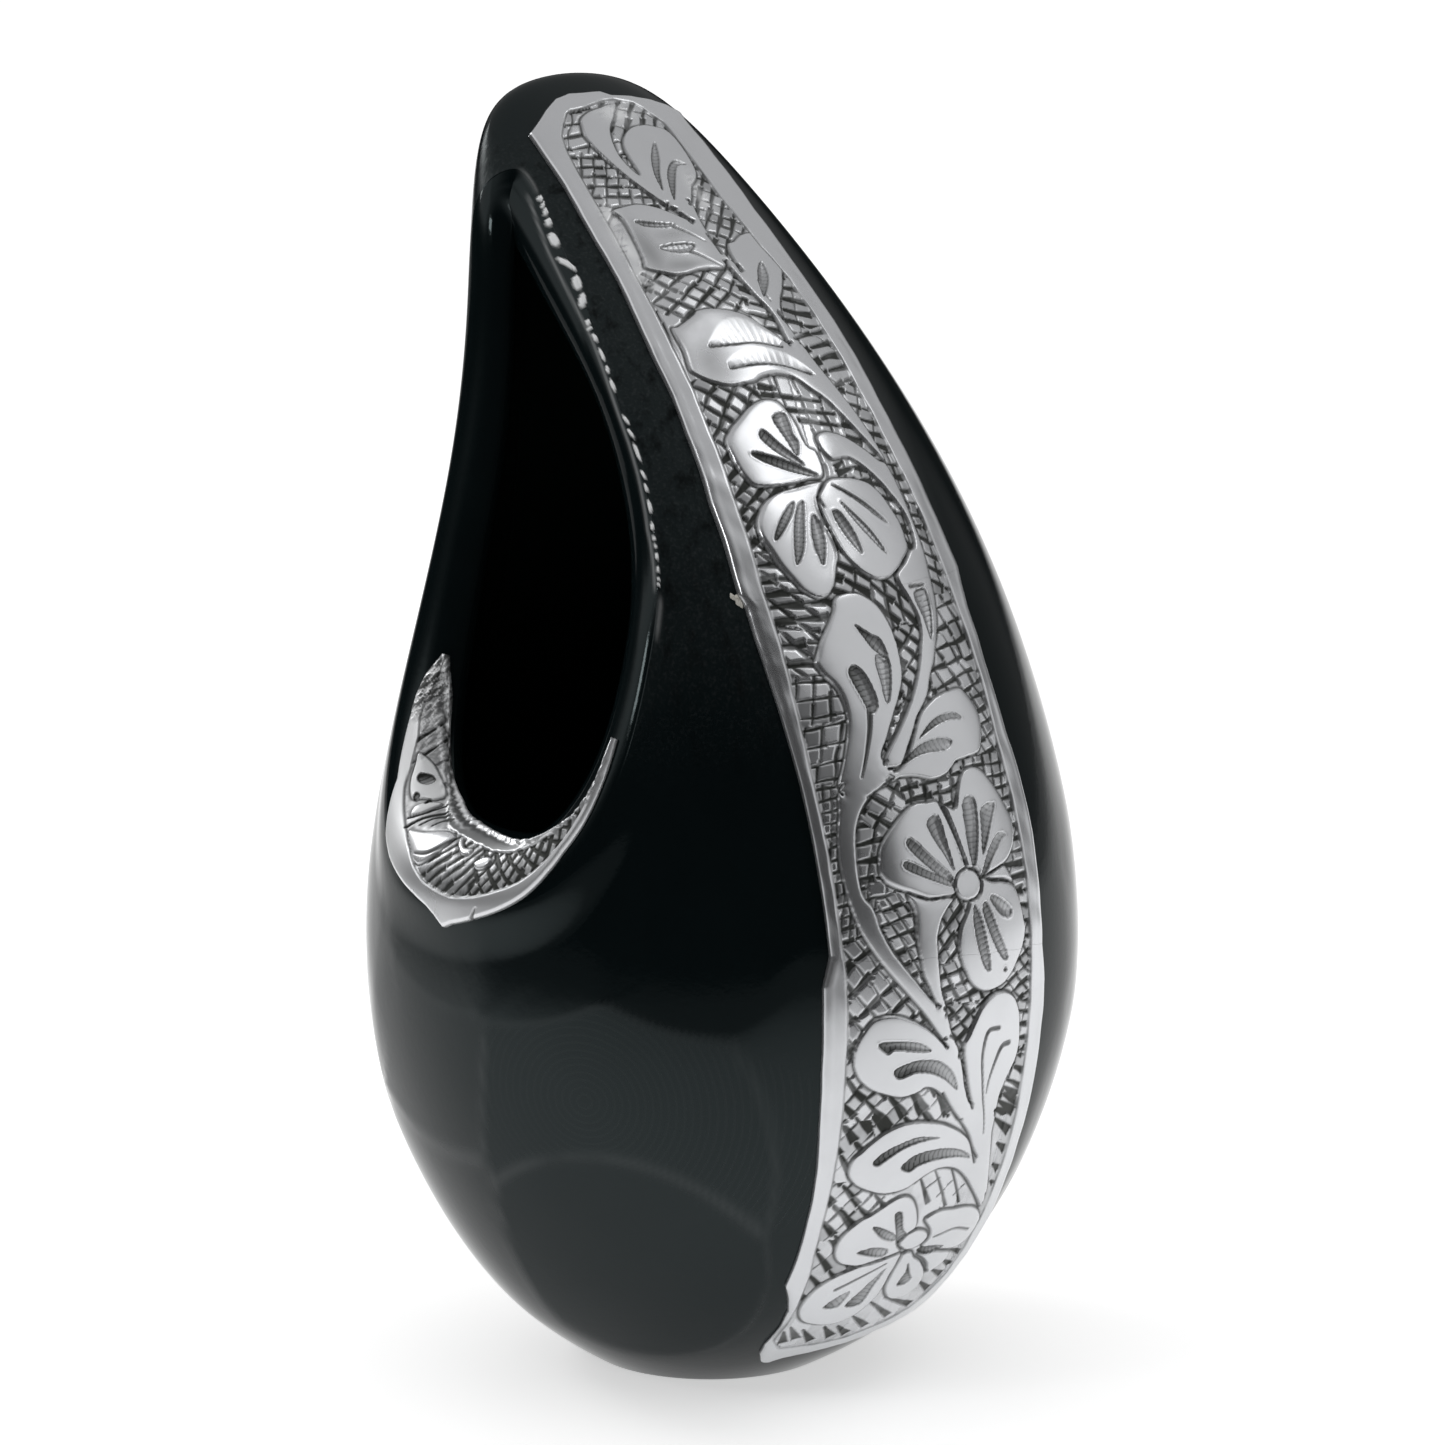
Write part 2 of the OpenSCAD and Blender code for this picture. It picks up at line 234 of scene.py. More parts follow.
# raised shapes: petals, leaves, buds and stems, as (y, s)
SHAPES = [
    # lowest flower
    [(-1, 26.4), (-3.3, 26.2), (-5.6, 25.6), (-8.3, 25.2), (-11, 24), (-12.9, 22.4), (-14, 20.4),
     (-14.4, 17.3), (-13.7, 15), (-12.3, 13.1), (-10.2, 12), (-7.9, 11.3), (-5.6, 11.5),
     (-3.7, 12.8), (-2.5, 14.7), (-1.6, 17), (-1.3, 19.3), (-1.3, 22.3)],
    [(-0.8, 26.2), (-1.1, 24), (-1.2, 21.5), (-1.1, 19.3), (-0.4, 17.6), (0.8, 16), (2.5, 15),
     (4.4, 14.8), (6.2, 15.8), (7.1, 17.7), (6.8, 19.8), (5.6, 22), (4, 23.6), (2.1, 25), (1, 26.3)],
    [(-0.2, 31.6), (-0.9, 34.3), (-2.3, 36.8), (-3.8, 38.2), (-5.6, 38.4), (-7.5, 37.4),
     (-9.2, 36.1), (-11, 35.1), (-12.5, 33.5), (-13.4, 31.8), (-13.6, 29.8), (-13.1, 28),
     (-11.9, 26.5), (-10.2, 25.7), (-8.3, 25.3), (-6, 25.8), (-3.3, 26.4), (-1.3, 27.2),
     (-2.7, 28.6), (-1.6, 30.4)],
    [(1, 32.5), (2.1, 33.5), (4, 33.9), (6.7, 33.5), (9.4, 33.2), (12.1, 32.3), (13.9, 31),
     (15.3, 29), (15, 26.5), (13.5, 24.5), (11, 24), (8.3, 24.6), (6.3, 25.3), (2.6, 26.9),
     (3.4, 28.5), (2.8, 30.3)],
    [(2.4, 25.4), (4.3, 23.8), (6, 22), (7.2, 19.8), (8.8, 20.2), (10.4, 21.4), (10.8, 23.4),
     (8.6, 24.3), (6, 25.1)],
    [(-2.5, 28.9), (-1.7, 30.4), (0.2, 31), (2.2, 30.3), (3.1, 28.9), (2.2, 27.4), (0.3, 26.8), (-1.6, 27.4)],
    # lowest left leaf and the stem that it leaves
    [(-15.5, 44), (-15.3, 46.4), (-14.2, 47.7), (-12.9, 49), (-11, 50.5), (-8.7, 51.4), (-6.3, 51.6),
     (-4, 51.3), (-1, 50.5), (1.3, 49.4), (3.7, 47.9), (5.4, 46.4), (7, 44), (9.5, 41), (12, 37.5),
     (14.2, 33.5), (13.8, 31.6), (12.1, 33.3), (9.4, 36.3), (7.1, 38.8), (4.8, 40.8), (2.5, 41.9),
     (0.2, 42.1), (-1.7, 41.5), (-3.5, 40.4), (-4.6, 39.7), (-6.2, 39.3), (-7.9, 39.2),
     (-10.2, 39.7), (-12.5, 40.8), (-14.2, 42)],
    [(-2.7, 63.7), (-1, 64.3), (0.6, 61.8), (1.7, 58.6), (2.5, 55.9), (4.6, 52.4), (10, 50.3),
     (10.6, 46.5), (11.5, 43), (12.7, 39), (14, 35), (14, 32.5), (9, 40), (5.4, 46.6), (2.5, 50.1),
     (-0.2, 53.2), (-3, 58)],
    # second left leaf
    [(-17.5, 62.8), (-17.3, 64.8), (-16.3, 66.8), (-14.8, 68.6), (-12.9, 69.1), (-11, 69),
     (-9, 68.3), (-7.1, 67.3), (-5.2, 66), (-2.7, 63.7), (0, 60.5), (1.5, 57), (3, 52.5),
     (2.5, 50.1), (-0.2, 53.2), (-2.1, 55.1), (-3.7, 56.3), (-5.2, 56.8), (-6.3, 56.2),
     (-8.3, 55.8), (-10.2, 56), (-12.5, 56.8), (-14.6, 57.9), (-16.2, 59.4), (-17.1, 61.1)],
    # right leaf
    [(1.2, 62.2), (2.1, 64), (3.1, 65.9), (4.4, 67.8), (6, 69), (7.9, 69.7), (10.2, 69.3),
     (11.9, 68), (13.1, 65.7), (13.5, 63.2), (13.7, 60.5), (13.1, 57.8), (11.7, 55.5), (10.6, 52.8),
     (10.2, 49.5), (8, 47), (6, 47.5), (5, 51), (3.5, 54.4), (2.4, 57.5)],
    # long stem up the left side
    [(-15.8, 102.5), (-16.5, 99.6), (-17.3, 96.5), (-17.7, 93.4), (-17.7, 89.6), (-17.2, 85.7),
     (-16.3, 82.3), (-15, 79.6), (-12.9, 76.3), (-9.4, 72), (-6.3, 68.4), (-4.4, 65.9),
     (-2.7, 63.7), (0, 60.5), (0.5, 62), (-1, 64.7), (-2.3, 68.4), (-4.2, 69.8), (-5.6, 71.3),
     (-7.5, 73.6), (-9.8, 76.6), (-11.3, 78.8), (-12.7, 81.9), (-13.5, 85), (-14.8, 86.9),
     (-15.1, 89.6), (-15, 92.3), (-14.6, 95.3), (-13.7, 98), (-12.1, 100.3), (-10.2, 101.9),
     (-7.5, 103), (-9, 106), (-12, 106)],
    [(-8.2, 86.5), (-7.2, 83.4), (-7.3, 80.3), (-7, 77.5), (-6.4, 74.5), (-5.5, 72.4), (-4.4, 70),
     (-3, 67.6), (-2.2, 68.6), (-3.1, 71.6), (-3.4, 74.3), (-3.5, 77.4), (-3.4, 79.6), (-2.5, 81.9),
     (-1.2, 83.4), (0.2, 84.8), (-1.7, 85.1), (-4.4, 85.2), (-6.5, 86)],
    # middle flower
    [(0.4, 86.9), (0.5, 85.4), (-1.7, 85.2), (-4.4, 85.3), (-7.1, 86.3), (-9.4, 87.2), (-11.3, 88.4),
     (-12.1, 90), (-11.9, 91.9), (-11.3, 93.8), (-9.8, 95.7), (-7.5, 97.7), (-5.6, 99), (-4, 99.5),
     (-1.7, 99.4), (0.2, 99), (1.5, 95.5), (2.5, 92), (3.2, 89), (1.5, 88.2)],
    [(0.2, 99), (1.8, 98.2), (2.9, 97.8), (3.7, 99.6), (4.8, 101.7), (6.3, 103), (8.3, 103.3),
     (10, 102.5), (11.3, 100.9), (12.5, 99), (13.7, 96.5), (14.6, 94.2), (14.6, 91.9), (13.7, 90),
     (11.7, 88.3), (8.3, 87.4), (6, 87), (5, 88.4), (3.3, 88.9), (2.6, 92), (1.6, 95.5)],
    [(0.5, 86.3), (1.2, 88), (3.1, 88.8), (5, 88), (5.7, 86.3), (5, 84.6), (3.1, 83.9), (1.2, 84.6)],
    [(6.1, 87), (8.3, 87.3), (11, 88), (12, 87.2), (12.8, 85.1), (10.6, 85.9), (8.3, 86.3)],
    [(3.1, 83.9), (2.1, 82.3), (0.7, 80.3), (0.1, 78), (0.2, 76.5), (0.8, 74.7), (2.1, 72), (4, 70.4),
     (6.3, 69.9), (9, 70.4), (11, 71.7), (12.7, 73.6), (14, 75.5), (14.8, 77.8), (14.5, 79.5),
     (14, 81.9), (13, 84.6), (10.6, 85.7), (8.3, 86.1), (6, 86.8), (5.4, 85), (4.2, 84)],
    # right leaf and bud above it
    [(-5, 105.2), (-2, 109), (0, 112), (2.1, 113.5), (4.4, 114.6), (7.1, 115.1), (9.8, 115.1),
     (11.3, 113.5), (12.3, 111.3), (12.4, 109.4), (11.9, 107.5), (10.6, 105.2), (8.3, 104.7),
     (5.2, 104.4), (2.9, 102.9), (0, 102.4), (-3, 103.2), (-5.6, 103.4), (-7.5, 103), (-9, 105)],
    [(-15.8, 102.5), (-14.4, 106.3), (-13.1, 109.4), (-12.1, 112.5), (-11.9, 115.6), (-12.5, 117.9),
     (-13.8, 119.8), (-14.4, 121.7), (-13.8, 122.9), (-12.5, 125.2), (-10.6, 127.5), (-9, 129.6),
     (-8.3, 131.2), (-7.1, 132), (-4.8, 132.2), (-2.9, 131.5), (-1, 129.6), (0, 126.7), (0.2, 124),
     (0, 121), (-0.6, 118.3), (-2.1, 115.6), (-4, 112.9), (-6.3, 109.4), (-7.9, 106.7), (-6, 104.5),
     (-9, 102.5), (-12.5, 101)],
    # stem up the right side that curls over the upper flower
    [(-7.7, 106.4), (-4, 110.6), (-0.5, 114.6), (2.5, 119), (4.4, 122.7), (5.2, 124.4), (5.6, 127),
     (5, 130), (4.2, 133.6), (6.7, 135.4), (8.9, 137.2), (10.3, 137.8), (11, 140.8), (10.8, 143.5),
     (9.8, 146.2), (8.3, 149.3), (6.3, 152), (4.4, 153.6), (1.7, 153.6), (0.8, 154.3), (0.2, 156),
     (0.5, 158), (2.5, 158.7), (4.8, 158), (7.1, 156.4), (9.2, 154.2), (10.6, 152.5), (12.1, 151.2),
     (12.5, 146), (12.4, 142), (12.2, 137), (11.5, 133), (11, 130.2), (10.4, 127.9), (9.4, 125.2),
     (7.9, 122.5), (6.3, 119.8), (4.8, 117.9), (2.9, 114.8), (0.2, 112.1), (-2.5, 108.5),
     (-5, 105.2), (-6.8, 104.6)],
    # upper flower
    [(-1.8, 150.3), (-4.4, 150.3), (-7.1, 149.9), (-9.8, 149.4), (-12.5, 148.2), (-14.2, 146.5),
     (-15.4, 144.5), (-15.8, 142), (-15.2, 139.3), (-14.6, 137), (-13.5, 134.7), (-12.3, 132.7),
     (-10.2, 131.5), (-8.3, 132.2), (-6.7, 134), (-5.6, 136.2), (-4.5, 138.1), (-4.3, 140.8),
     (-4.6, 144.3), (-4.1, 147.7)],
    [(-1.2, 150.5), (-3.6, 148.4), (-4.4, 146.5), (-4.5, 144.3), (-4.2, 140.8), (-3.6, 138.1),
     (-2.1, 135.4), (-0.2, 133.8), (2.1, 133.4), (4.4, 134.1), (6.7, 135.6), (8.8, 137.3),
     (9.2, 138.9), (9.4, 141.6), (8.8, 144.3), (7.9, 147), (6.3, 149.1), (4, 150.2), (1.3, 150.7)],
    [(-14.6, 158.3), (-12.9, 160.7), (-10.6, 162.6), (-8.7, 164.1), (-6.7, 165.1), (-4.8, 165.5),
     (-3.1, 164.9), (-2.1, 163), (-1.7, 160.7), (-1.8, 156.8), (-0.6, 155.5), (-0.8, 152.5),
     (-1.7, 150.9), (-4.4, 150.7), (-8, 150.3), (-12.9, 150.3), (-14.2, 152), (-14.7, 154.7)],
    # upper left leaf with the stem
    [(-13.4, 179.6), (-12.3, 180), (-10.6, 181), (-8.7, 182.2), (-7.9, 182.9), (-5.6, 183.2),
     (-3.3, 182.8), (-1, 181.9), (0.6, 180.7), (2.1, 178.7), (3.7, 176.6), (4.9, 174.9), (7.1, 175.3),
     (8.3, 170.3), (9.4, 166.4), (10.6, 162.2), (11.3, 159.1), (12, 155), (12.1, 151.4), (9.8, 155.8),
     (7.9, 159.9), (6, 163.7), (4, 166.1), (2.1, 168.4), (-0.6, 169.4), (-3.3, 169.3), (-5, 168.6),
     (-7.9, 168.3), (-9.8, 168.4), (-12.1, 169.4), (-13.8, 170.8), (-14.2, 172), (-13.6, 175.3)],
    [(-1.2, 204.1), (0.6, 201.3), (1.7, 196.3), (2.5, 190.5), (3.7, 185.1), (5, 180.5), (4.8, 174.5),
     (7.2, 174.5), (6.8, 179), (6.4, 183), (5.2, 187), (4.4, 190.5), (3.2, 194), (2.9, 197.4),
     (3.2, 201), (3.6, 204.5), (1, 206)],
    # top leaves
    [(-11, 204), (-9, 204.9), (-6.3, 205.3), (-4, 204.7), (-2.1, 203.5), (0.4, 201.3), (2.2, 199),
     (2.7, 192), (1.3, 190.5), (-1, 190.6), (-3.3, 190.6), (-5.6, 190.1), (-7.9, 190.1),
     (-9.8, 190.8), (-11.7, 191.8), (-11.2, 193.7), (-10.6, 197.4), (-10.2, 202)],
    [(4.2, 189.5), (4.8, 195), (6.7, 195.8), (9, 196.9), (11.3, 197), (12.6, 196), (14, 190),
     (12.4, 187.5), (10.5, 185), (8.8, 183.2), (7.4, 181), (6.9, 178.5), (6, 182)],
    [(-7.1, 219.9), (-6.5, 216), (-5.2, 211.8), (-3.3, 207.6), (-1.2, 204.1), (1, 203), (3.6, 204.5),
     (4.4, 205.3), (6, 207.6), (8.3, 209.5), (9.4, 212.2), (9.7, 217.2), (9, 220), (7.9, 221),
     (5.2, 222), (2.5, 221.8), (0.2, 220.5), (-1.7, 218), (-2.2, 214.9), (-2.4, 211.4), (-3.3, 214.9),
     (-2.9, 218.3), (-1.7, 221.4), (0.6, 224.1), (2.6, 226.8), (1.3, 227.2), (-1, 226.6),
     (-3.3, 225.9), (-5.6, 224.5), (-6.5, 222.6)],
]

# lines cut with the graver: path of (y, s), width at its start and end, depth, darkness
CUTS = [
    ([(-10.3, 20.7), (-7.4, 22.6), (-3.4, 24.9)], 0.7, 0.3, 0.25, 0.75),
    ([(4.4, 28.5), (8.7, 29), (12.7, 27.6)], 0.5, 0.5, 0.2, 0.6),
    ([(6.9, 20.2), (5.5, 21.9), (4, 23.4)], 0.9, 0.2, 0.3, 0.8),
    ([(8.3, 64), (6.2, 64), (5.4, 62.4), (5.2, 59.7), (5.8, 56.3), (6.5, 53.2), (7.5, 50), (8.3, 46.8)], 0.7, 0.2, 0.28, 0.75),
    ([(10.8, 61.2), (9.2, 60.9), (8, 58.6), (7.2, 55.9), (7.1, 53.8)], 0.9, 0.2, 0.3, 0.7),
    ([(0.5, 62.2), (1.7, 58.6), (2.6, 55.9), (4.6, 52.4)], 0.7, 0.15, 0.25, 0.8),
    ([(0.5, 98.8), (1.8, 94.5), (3.1, 89.6)], 1.1, 0.3, 0.35, 0.85),
    ([(-7.8, 106.9), (-4.5, 110.3), (-1, 114.6), (0.5, 117.2)], 0.2, 0.8, 0.3, 0.85),
    ([(-12.1, 104), (-10.6, 107.1), (-8.9, 111.2), (-8, 114.5)], 0.15, 0.9, 0.35, 0.85),
    ([(6.2, 131.6), (9, 131.5)], 0.7, 0.5, 0.3, 0.7),
    ([(-4.1, 147.6), (-3.7, 146)], 0.7, 0.3, 0.25, 0.8),
    ([(-9, 175.9), (-4.8, 175.8), (-1, 175.6), (3, 174.4)], 0.5, 0.3, 0.3, 0.9),
    ([(-7.7, 171.6), (-4, 171.8), (-1, 171.5), (2.1, 170.7), (5.6, 168.7)], 0.5, 0.3, 0.3, 0.9),
    ([(1.3, 191), (-1.7, 193.6), (-3, 194.4)], 0.2, 0.5, 0.25, 0.7),
    ([(1, 196), (-1.7, 198.6), (-3, 199.6)], 0.2, 0.5, 0.25, 0.7),
    ([(6.2, 183), (5.9, 185), (6.3, 187.2)], 0.2, 0.5, 0.25, 0.6),
]

# wedge-shaped pockets cut with a chisel: outline of (y, s) and darkness
POCKETS = [
    # lowest flower
    ([(-5.5, 35.2), (-4.2, 35.2), (-3, 32), (-1.7, 30.3), (-3, 28.7), (-4, 31.3)], 0.75),
    ([(-8.7, 33.2), (-7.3, 33), (-3.7, 30.7), (-4, 29.7), (-6.3, 30.7)], 0.7),
    ([(-9.8, 28.5), (-7, 29), (-4.3, 28), (-4.7, 26.7), (-7, 27.2)], 0.75),
    ([(2, 26.3), (4.3, 26.7), (7.7, 25.7), (6.3, 24.8), (3.7, 25)], 0.8),
    ([(-10.7, 16.7), (-9, 19.2), (-7.5, 19.7), (-8.2, 16.3)], 0.75),
    ([(-7, 16.3), (-5.5, 20), (-3, 24), (-3.7, 20), (-4.2, 16)], 0.75),
    ([(1.1, 19.2), (1.6, 22), (1.1, 24), (2.7, 21.3), (3.8, 19.7), (2.7, 18.7)], 0.8),
    # lowest left leaf
    ([(-12, 45.5), (-10.7, 47), (-8.3, 48.1), (-5.3, 48.8), (-3, 48.5), (-1, 48), (-4.3, 47.9), (-7.3, 47.2),
      (-9.7, 45.7), (-11, 44.8)], 0.75),
    ([(-7, 44), (-5, 45.7), (-1.7, 46.1), (2.3, 45.5), (5, 44.3), (6.5, 42.9), (3.7, 43.7), (-0.3, 44.1),
      (-3.7, 43.7), (-5.3, 42.8)], 0.75),
    # second left leaf
    ([(-13.8, 65), (-9.7, 64.8), (-6.7, 64.1), (-4.9, 62.7), (-7.7, 63), (-11, 63.7), (-12.3, 63.2)], 0.75),
    ([(-11, 60.5), (-7.7, 61.5), (-4.3, 61.2), (-2.3, 60.3), (-0.3, 58.4), (0.8, 55.6), (-2, 57.8), (-4.8, 59.2),
      (-7.5, 59.6), (-10, 59)], 0.72),
    # middle flower
    ([(-3, 96), (-0.7, 97.2), (0.2, 92.7), (0.8, 88.7), (-0.3, 90.7)], 0.6),
    ([(-7, 93.2), (-6.2, 94.5), (-3, 91.3), (0, 88.3), (-0.4, 87.2), (-3.7, 89.7)], 0.65),
    ([(-8, 90.1), (-7.5, 91.3), (-3.7, 89.3), (0.3, 87.2), (0.2, 86.4), (-4, 88.1)], 0.7),
    ([(4.3, 98.1), (6.9, 98.7), (6.7, 94.7), (5.3, 89.7), (4.3, 89.3)], 0.55),
    ([(8, 97), (11.1, 97.3), (9.7, 94.7), (7.3, 90.7), (6.7, 90.5), (7.3, 94)], 0.6),
    ([(10.7, 92.9), (12.5, 92.1), (11.3, 91.7), (8.7, 89.3), (6.3, 86.8), (5.8, 87.2), (8, 90.7)], 0.6),
    ([(3.7, 83.3), (5, 80.7), (6.2, 74), (5.5, 73.2), (4.3, 75.3), (3.3, 80)], 0.62),
    ([(5.3, 82), (6.3, 83.3), (8.3, 78.7), (10, 74.7), (9, 74.3), (7, 77.3)], 0.6),
    ([(7, 83.7), (8.3, 83.9), (11.3, 81.7), (11.1, 80.3), (9, 81)], 0.55),
    ([(9, 72.7), (9.4, 73.1), (9.8, 72.7), (9.4, 72.3)], 0.7),
    # right leaf
    ([(-1, 108.7), (1.7, 110.8), (4.3, 111.7), (7, 111.6), (8.3, 110.5), (6.3, 110.7), (3.7, 110.4), (1, 109.5)], 0.75),
    ([(-4.7, 105.3), (-2.3, 107.3), (0.3, 108.2), (3.3, 108.3), (5.1, 107.5), (3.7, 106.4), (0.3, 106.5), (-2.3, 106.1)], 0.6),
    # bud
    ([(-6.3, 127), (-5.5, 125), (-4.3, 122.7), (-2.3, 121.3), (-2.7, 124.3), (-4, 125.2), (-5.3, 126.3)], 0.85),
    ([(-4.5, 122), (-2.3, 121.2), (-3.3, 117), (-4.8, 114.4), (-4.9, 118)], 0.22),
    ([(-9.8, 119.7), (-8.7, 120.9), (-7.3, 119.7), (-6.5, 116.7), (-6.6, 114.2), (-8, 113.4), (-8.9, 116)], 0.85),
    ([(6.3, 130.4), (9, 130.8), (8.6, 127), (6.8, 123), (6.6, 127)], 0.25),
    # upper flower
    ([(-11.3, 156.3), (-11.1, 155), (-7.7, 153), (-3, 151.2), (-2.7, 151.8), (-7, 154.7)], 0.9),
    ([(-8, 160), (-9.1, 158.5), (-7.3, 155.7), (-4.3, 153.3), (-4, 154), (-6.3, 157.3)], 0.65),
    ([(-5.5, 161.9), (-3, 162.5), (-3.3, 158.7), (-3, 157.3), (-4.3, 155), (-4.9, 158)], 0.62),
    ([(-9.3, 147), (-8.3, 147.3), (-10, 144.7), (-13.3, 141.3), (-13.7, 141.9), (-11.7, 144.7)], 0.75),
    ([(-8, 146.7), (-6.8, 147.3), (-8, 144), (-10, 139.3), (-12, 137), (-11.3, 140), (-9.7, 144)], 0.6),
    ([(-6.3, 145), (-5.5, 144), (-5.8, 140.7), (-7.5, 136.9), (-8, 137.7), (-7.8, 141.3)], 0.6),
    ([(-2.7, 145.3), (-1.3, 144.7), (-0.3, 140.7), (-0.5, 137.7), (-1.7, 140), (-2.5, 142.7)], 0.62),
    ([(-0.7, 146.7), (0.3, 145.3), (2.7, 141.3), (4, 137.3), (2.7, 139), (0.7, 142.7)], 0.2),
    ([(-1, 149.5), (0.3, 149), (3.7, 146), (6.7, 142), (5.3, 143), (1.7, 147)], 0.9),
    # top leaves
    ([(-8.5, 201.7), (-7.3, 200.3), (-4.3, 199.7), (-2.3, 200), (-5, 200.8)], 0.6),
    ([(-7.3, 195.9), (-6, 194.8), (-3, 194.3), (-1.3, 195.7), (-4.3, 196.3)], 0.2),
    ([(5.3, 184), (6.3, 187.3), (7.8, 189.7), (9.5, 190.8), (9, 188), (7.3, 185.7)], 0.55),
    ([(-0.3, 207.3), (0.3, 211.3), (2, 215), (4.5, 217.9), (3.4, 214.6), (1.3, 211)], 0.55),
    ([(0.5, 205.2), (2, 209.7), (4, 212.5), (6, 213.5), (7.7, 212.3), (5.7, 212.3), (3.7, 209.8), (1.7, 206.7)], 0.55),
]

# petals and leaves bent a little to one side: middle, size and slopes across and along
LEAN = [(-10.5, 142, 8, -0.07, 0.0), (-9, 156, 7, -0.05, 0.03), (-7, 119, 8, -0.03, 0.0), (-4, 91, 7, -0.05, 0.0),
        (-5, 198, 7, 0.06, 0.02), (-6, 173, 7, 0.05, 0.0)]

# painted dark reflection on raised shapes, darkening them where they would mirror dark surroundings: middle, half sizes
# across and along, amount
PAINTED_DARK_PATCHES = [(-9.3, 196, 1.8, 5.5, 0.45), (-4.5, 191.8, 4.5, 1.6, 0.4), (-3.5, 198, 3.5, 1.2, 0.3), (-10.5, 172.5, 3.2, 5, 0.35)]

# single strokes of the graver in the ground: start, end, widths, darkness
STROKES = [
    ((-13.8, 10.6), (-12.2, 6.6), 0.3, 1.5), ((-13.4, 11.8), (-10.6, 7.6), 0.3, 1.4),
    ((-11, 10.6), (-7.6, 6.2), 0.3, 1.4), ((-7.6, 10.6), (-4.4, 6.6), 0.3, 1.6),
    ((-5.2, 10.2), (-1.6, 6.6), 0.3, 1.6), ((-3.8, 12.6), (1.4, 7.8), 0.3, 1.4),
    ((-1.8, 15.4), (5.2, 9.4), 0.35, 1.3), ((0.6, 15.8), (9.2, 11), 0.35, 1.4),
    ((7, 17.6), (11.4, 14.2), 0.35, 1.4), ((8.7, 19.8), (12.8, 17.2), 0.35, 1.4),
    ((10.4, 21.4), (13.6, 19.2), 0.35, 1.3), ((10.8, 23.6), (14.6, 21.8), 0.35, 1.2),
    ((-2.4, 40.9), (0.8, 35.6), 0.4, 1.1), ((0.2, 41.8), (4.8, 34.2), 0.4, 0.7),
    ((3.5, 41.6), (7.8, 34), 0.4, 0.6), ((-1, 38.5), (1.6, 40.3), 0.3, 0.3),
    ((2, 36.6), (4.4, 39), 0.3, 0.3), ((5.6, 36), (7.6, 37.6), 0.3, 0.3),
    ((10.4, 48.8), (15.4, 45.2), 0.4, 1.8), ((10.4, 51.8), (15.4, 48.6), 0.4, 1.8),
    ((11.4, 53.8), (15.4, 51.4), 0.4, 1.8), ((12.8, 43.8), (15.8, 41.8), 0.4, 1.6),
    ((13.4, 39.8), (15.6, 38.2), 0.4, 1.5), ((14, 36.6), (15.6, 35.4), 0.3, 1.0),
    ((-5, 166.5), (5.2, 163.9), 1.1, 0.6), ((-2.3, 163.3), (6.7, 161.4), 1.0, 0.6),
    ((-1, 161.3), (8.3, 158.7), 1.0, 0.5), ((-4.8, 168), (-2, 167), 1.4, 0.8),
    ((1.4, 151.4), (5.6, 152.2), 1.4, 0.3), ((5.2, 149.6), (7.8, 149.6), 0.9, 0.3),
    ((1.5, 152.4), (3.6, 153.4), 1.2, 0.4), ((8.2, 146.6), (9.2, 145.8), 0.6, 0.3),
    ((9.2, 143.6), (10.2, 143.2), 0.5, 0.3), ((9.4, 141), (10.6, 141), 0.5, 0.3),
    ((9, 138.8), (10.6, 137.6), 0.8, 0.6),
]

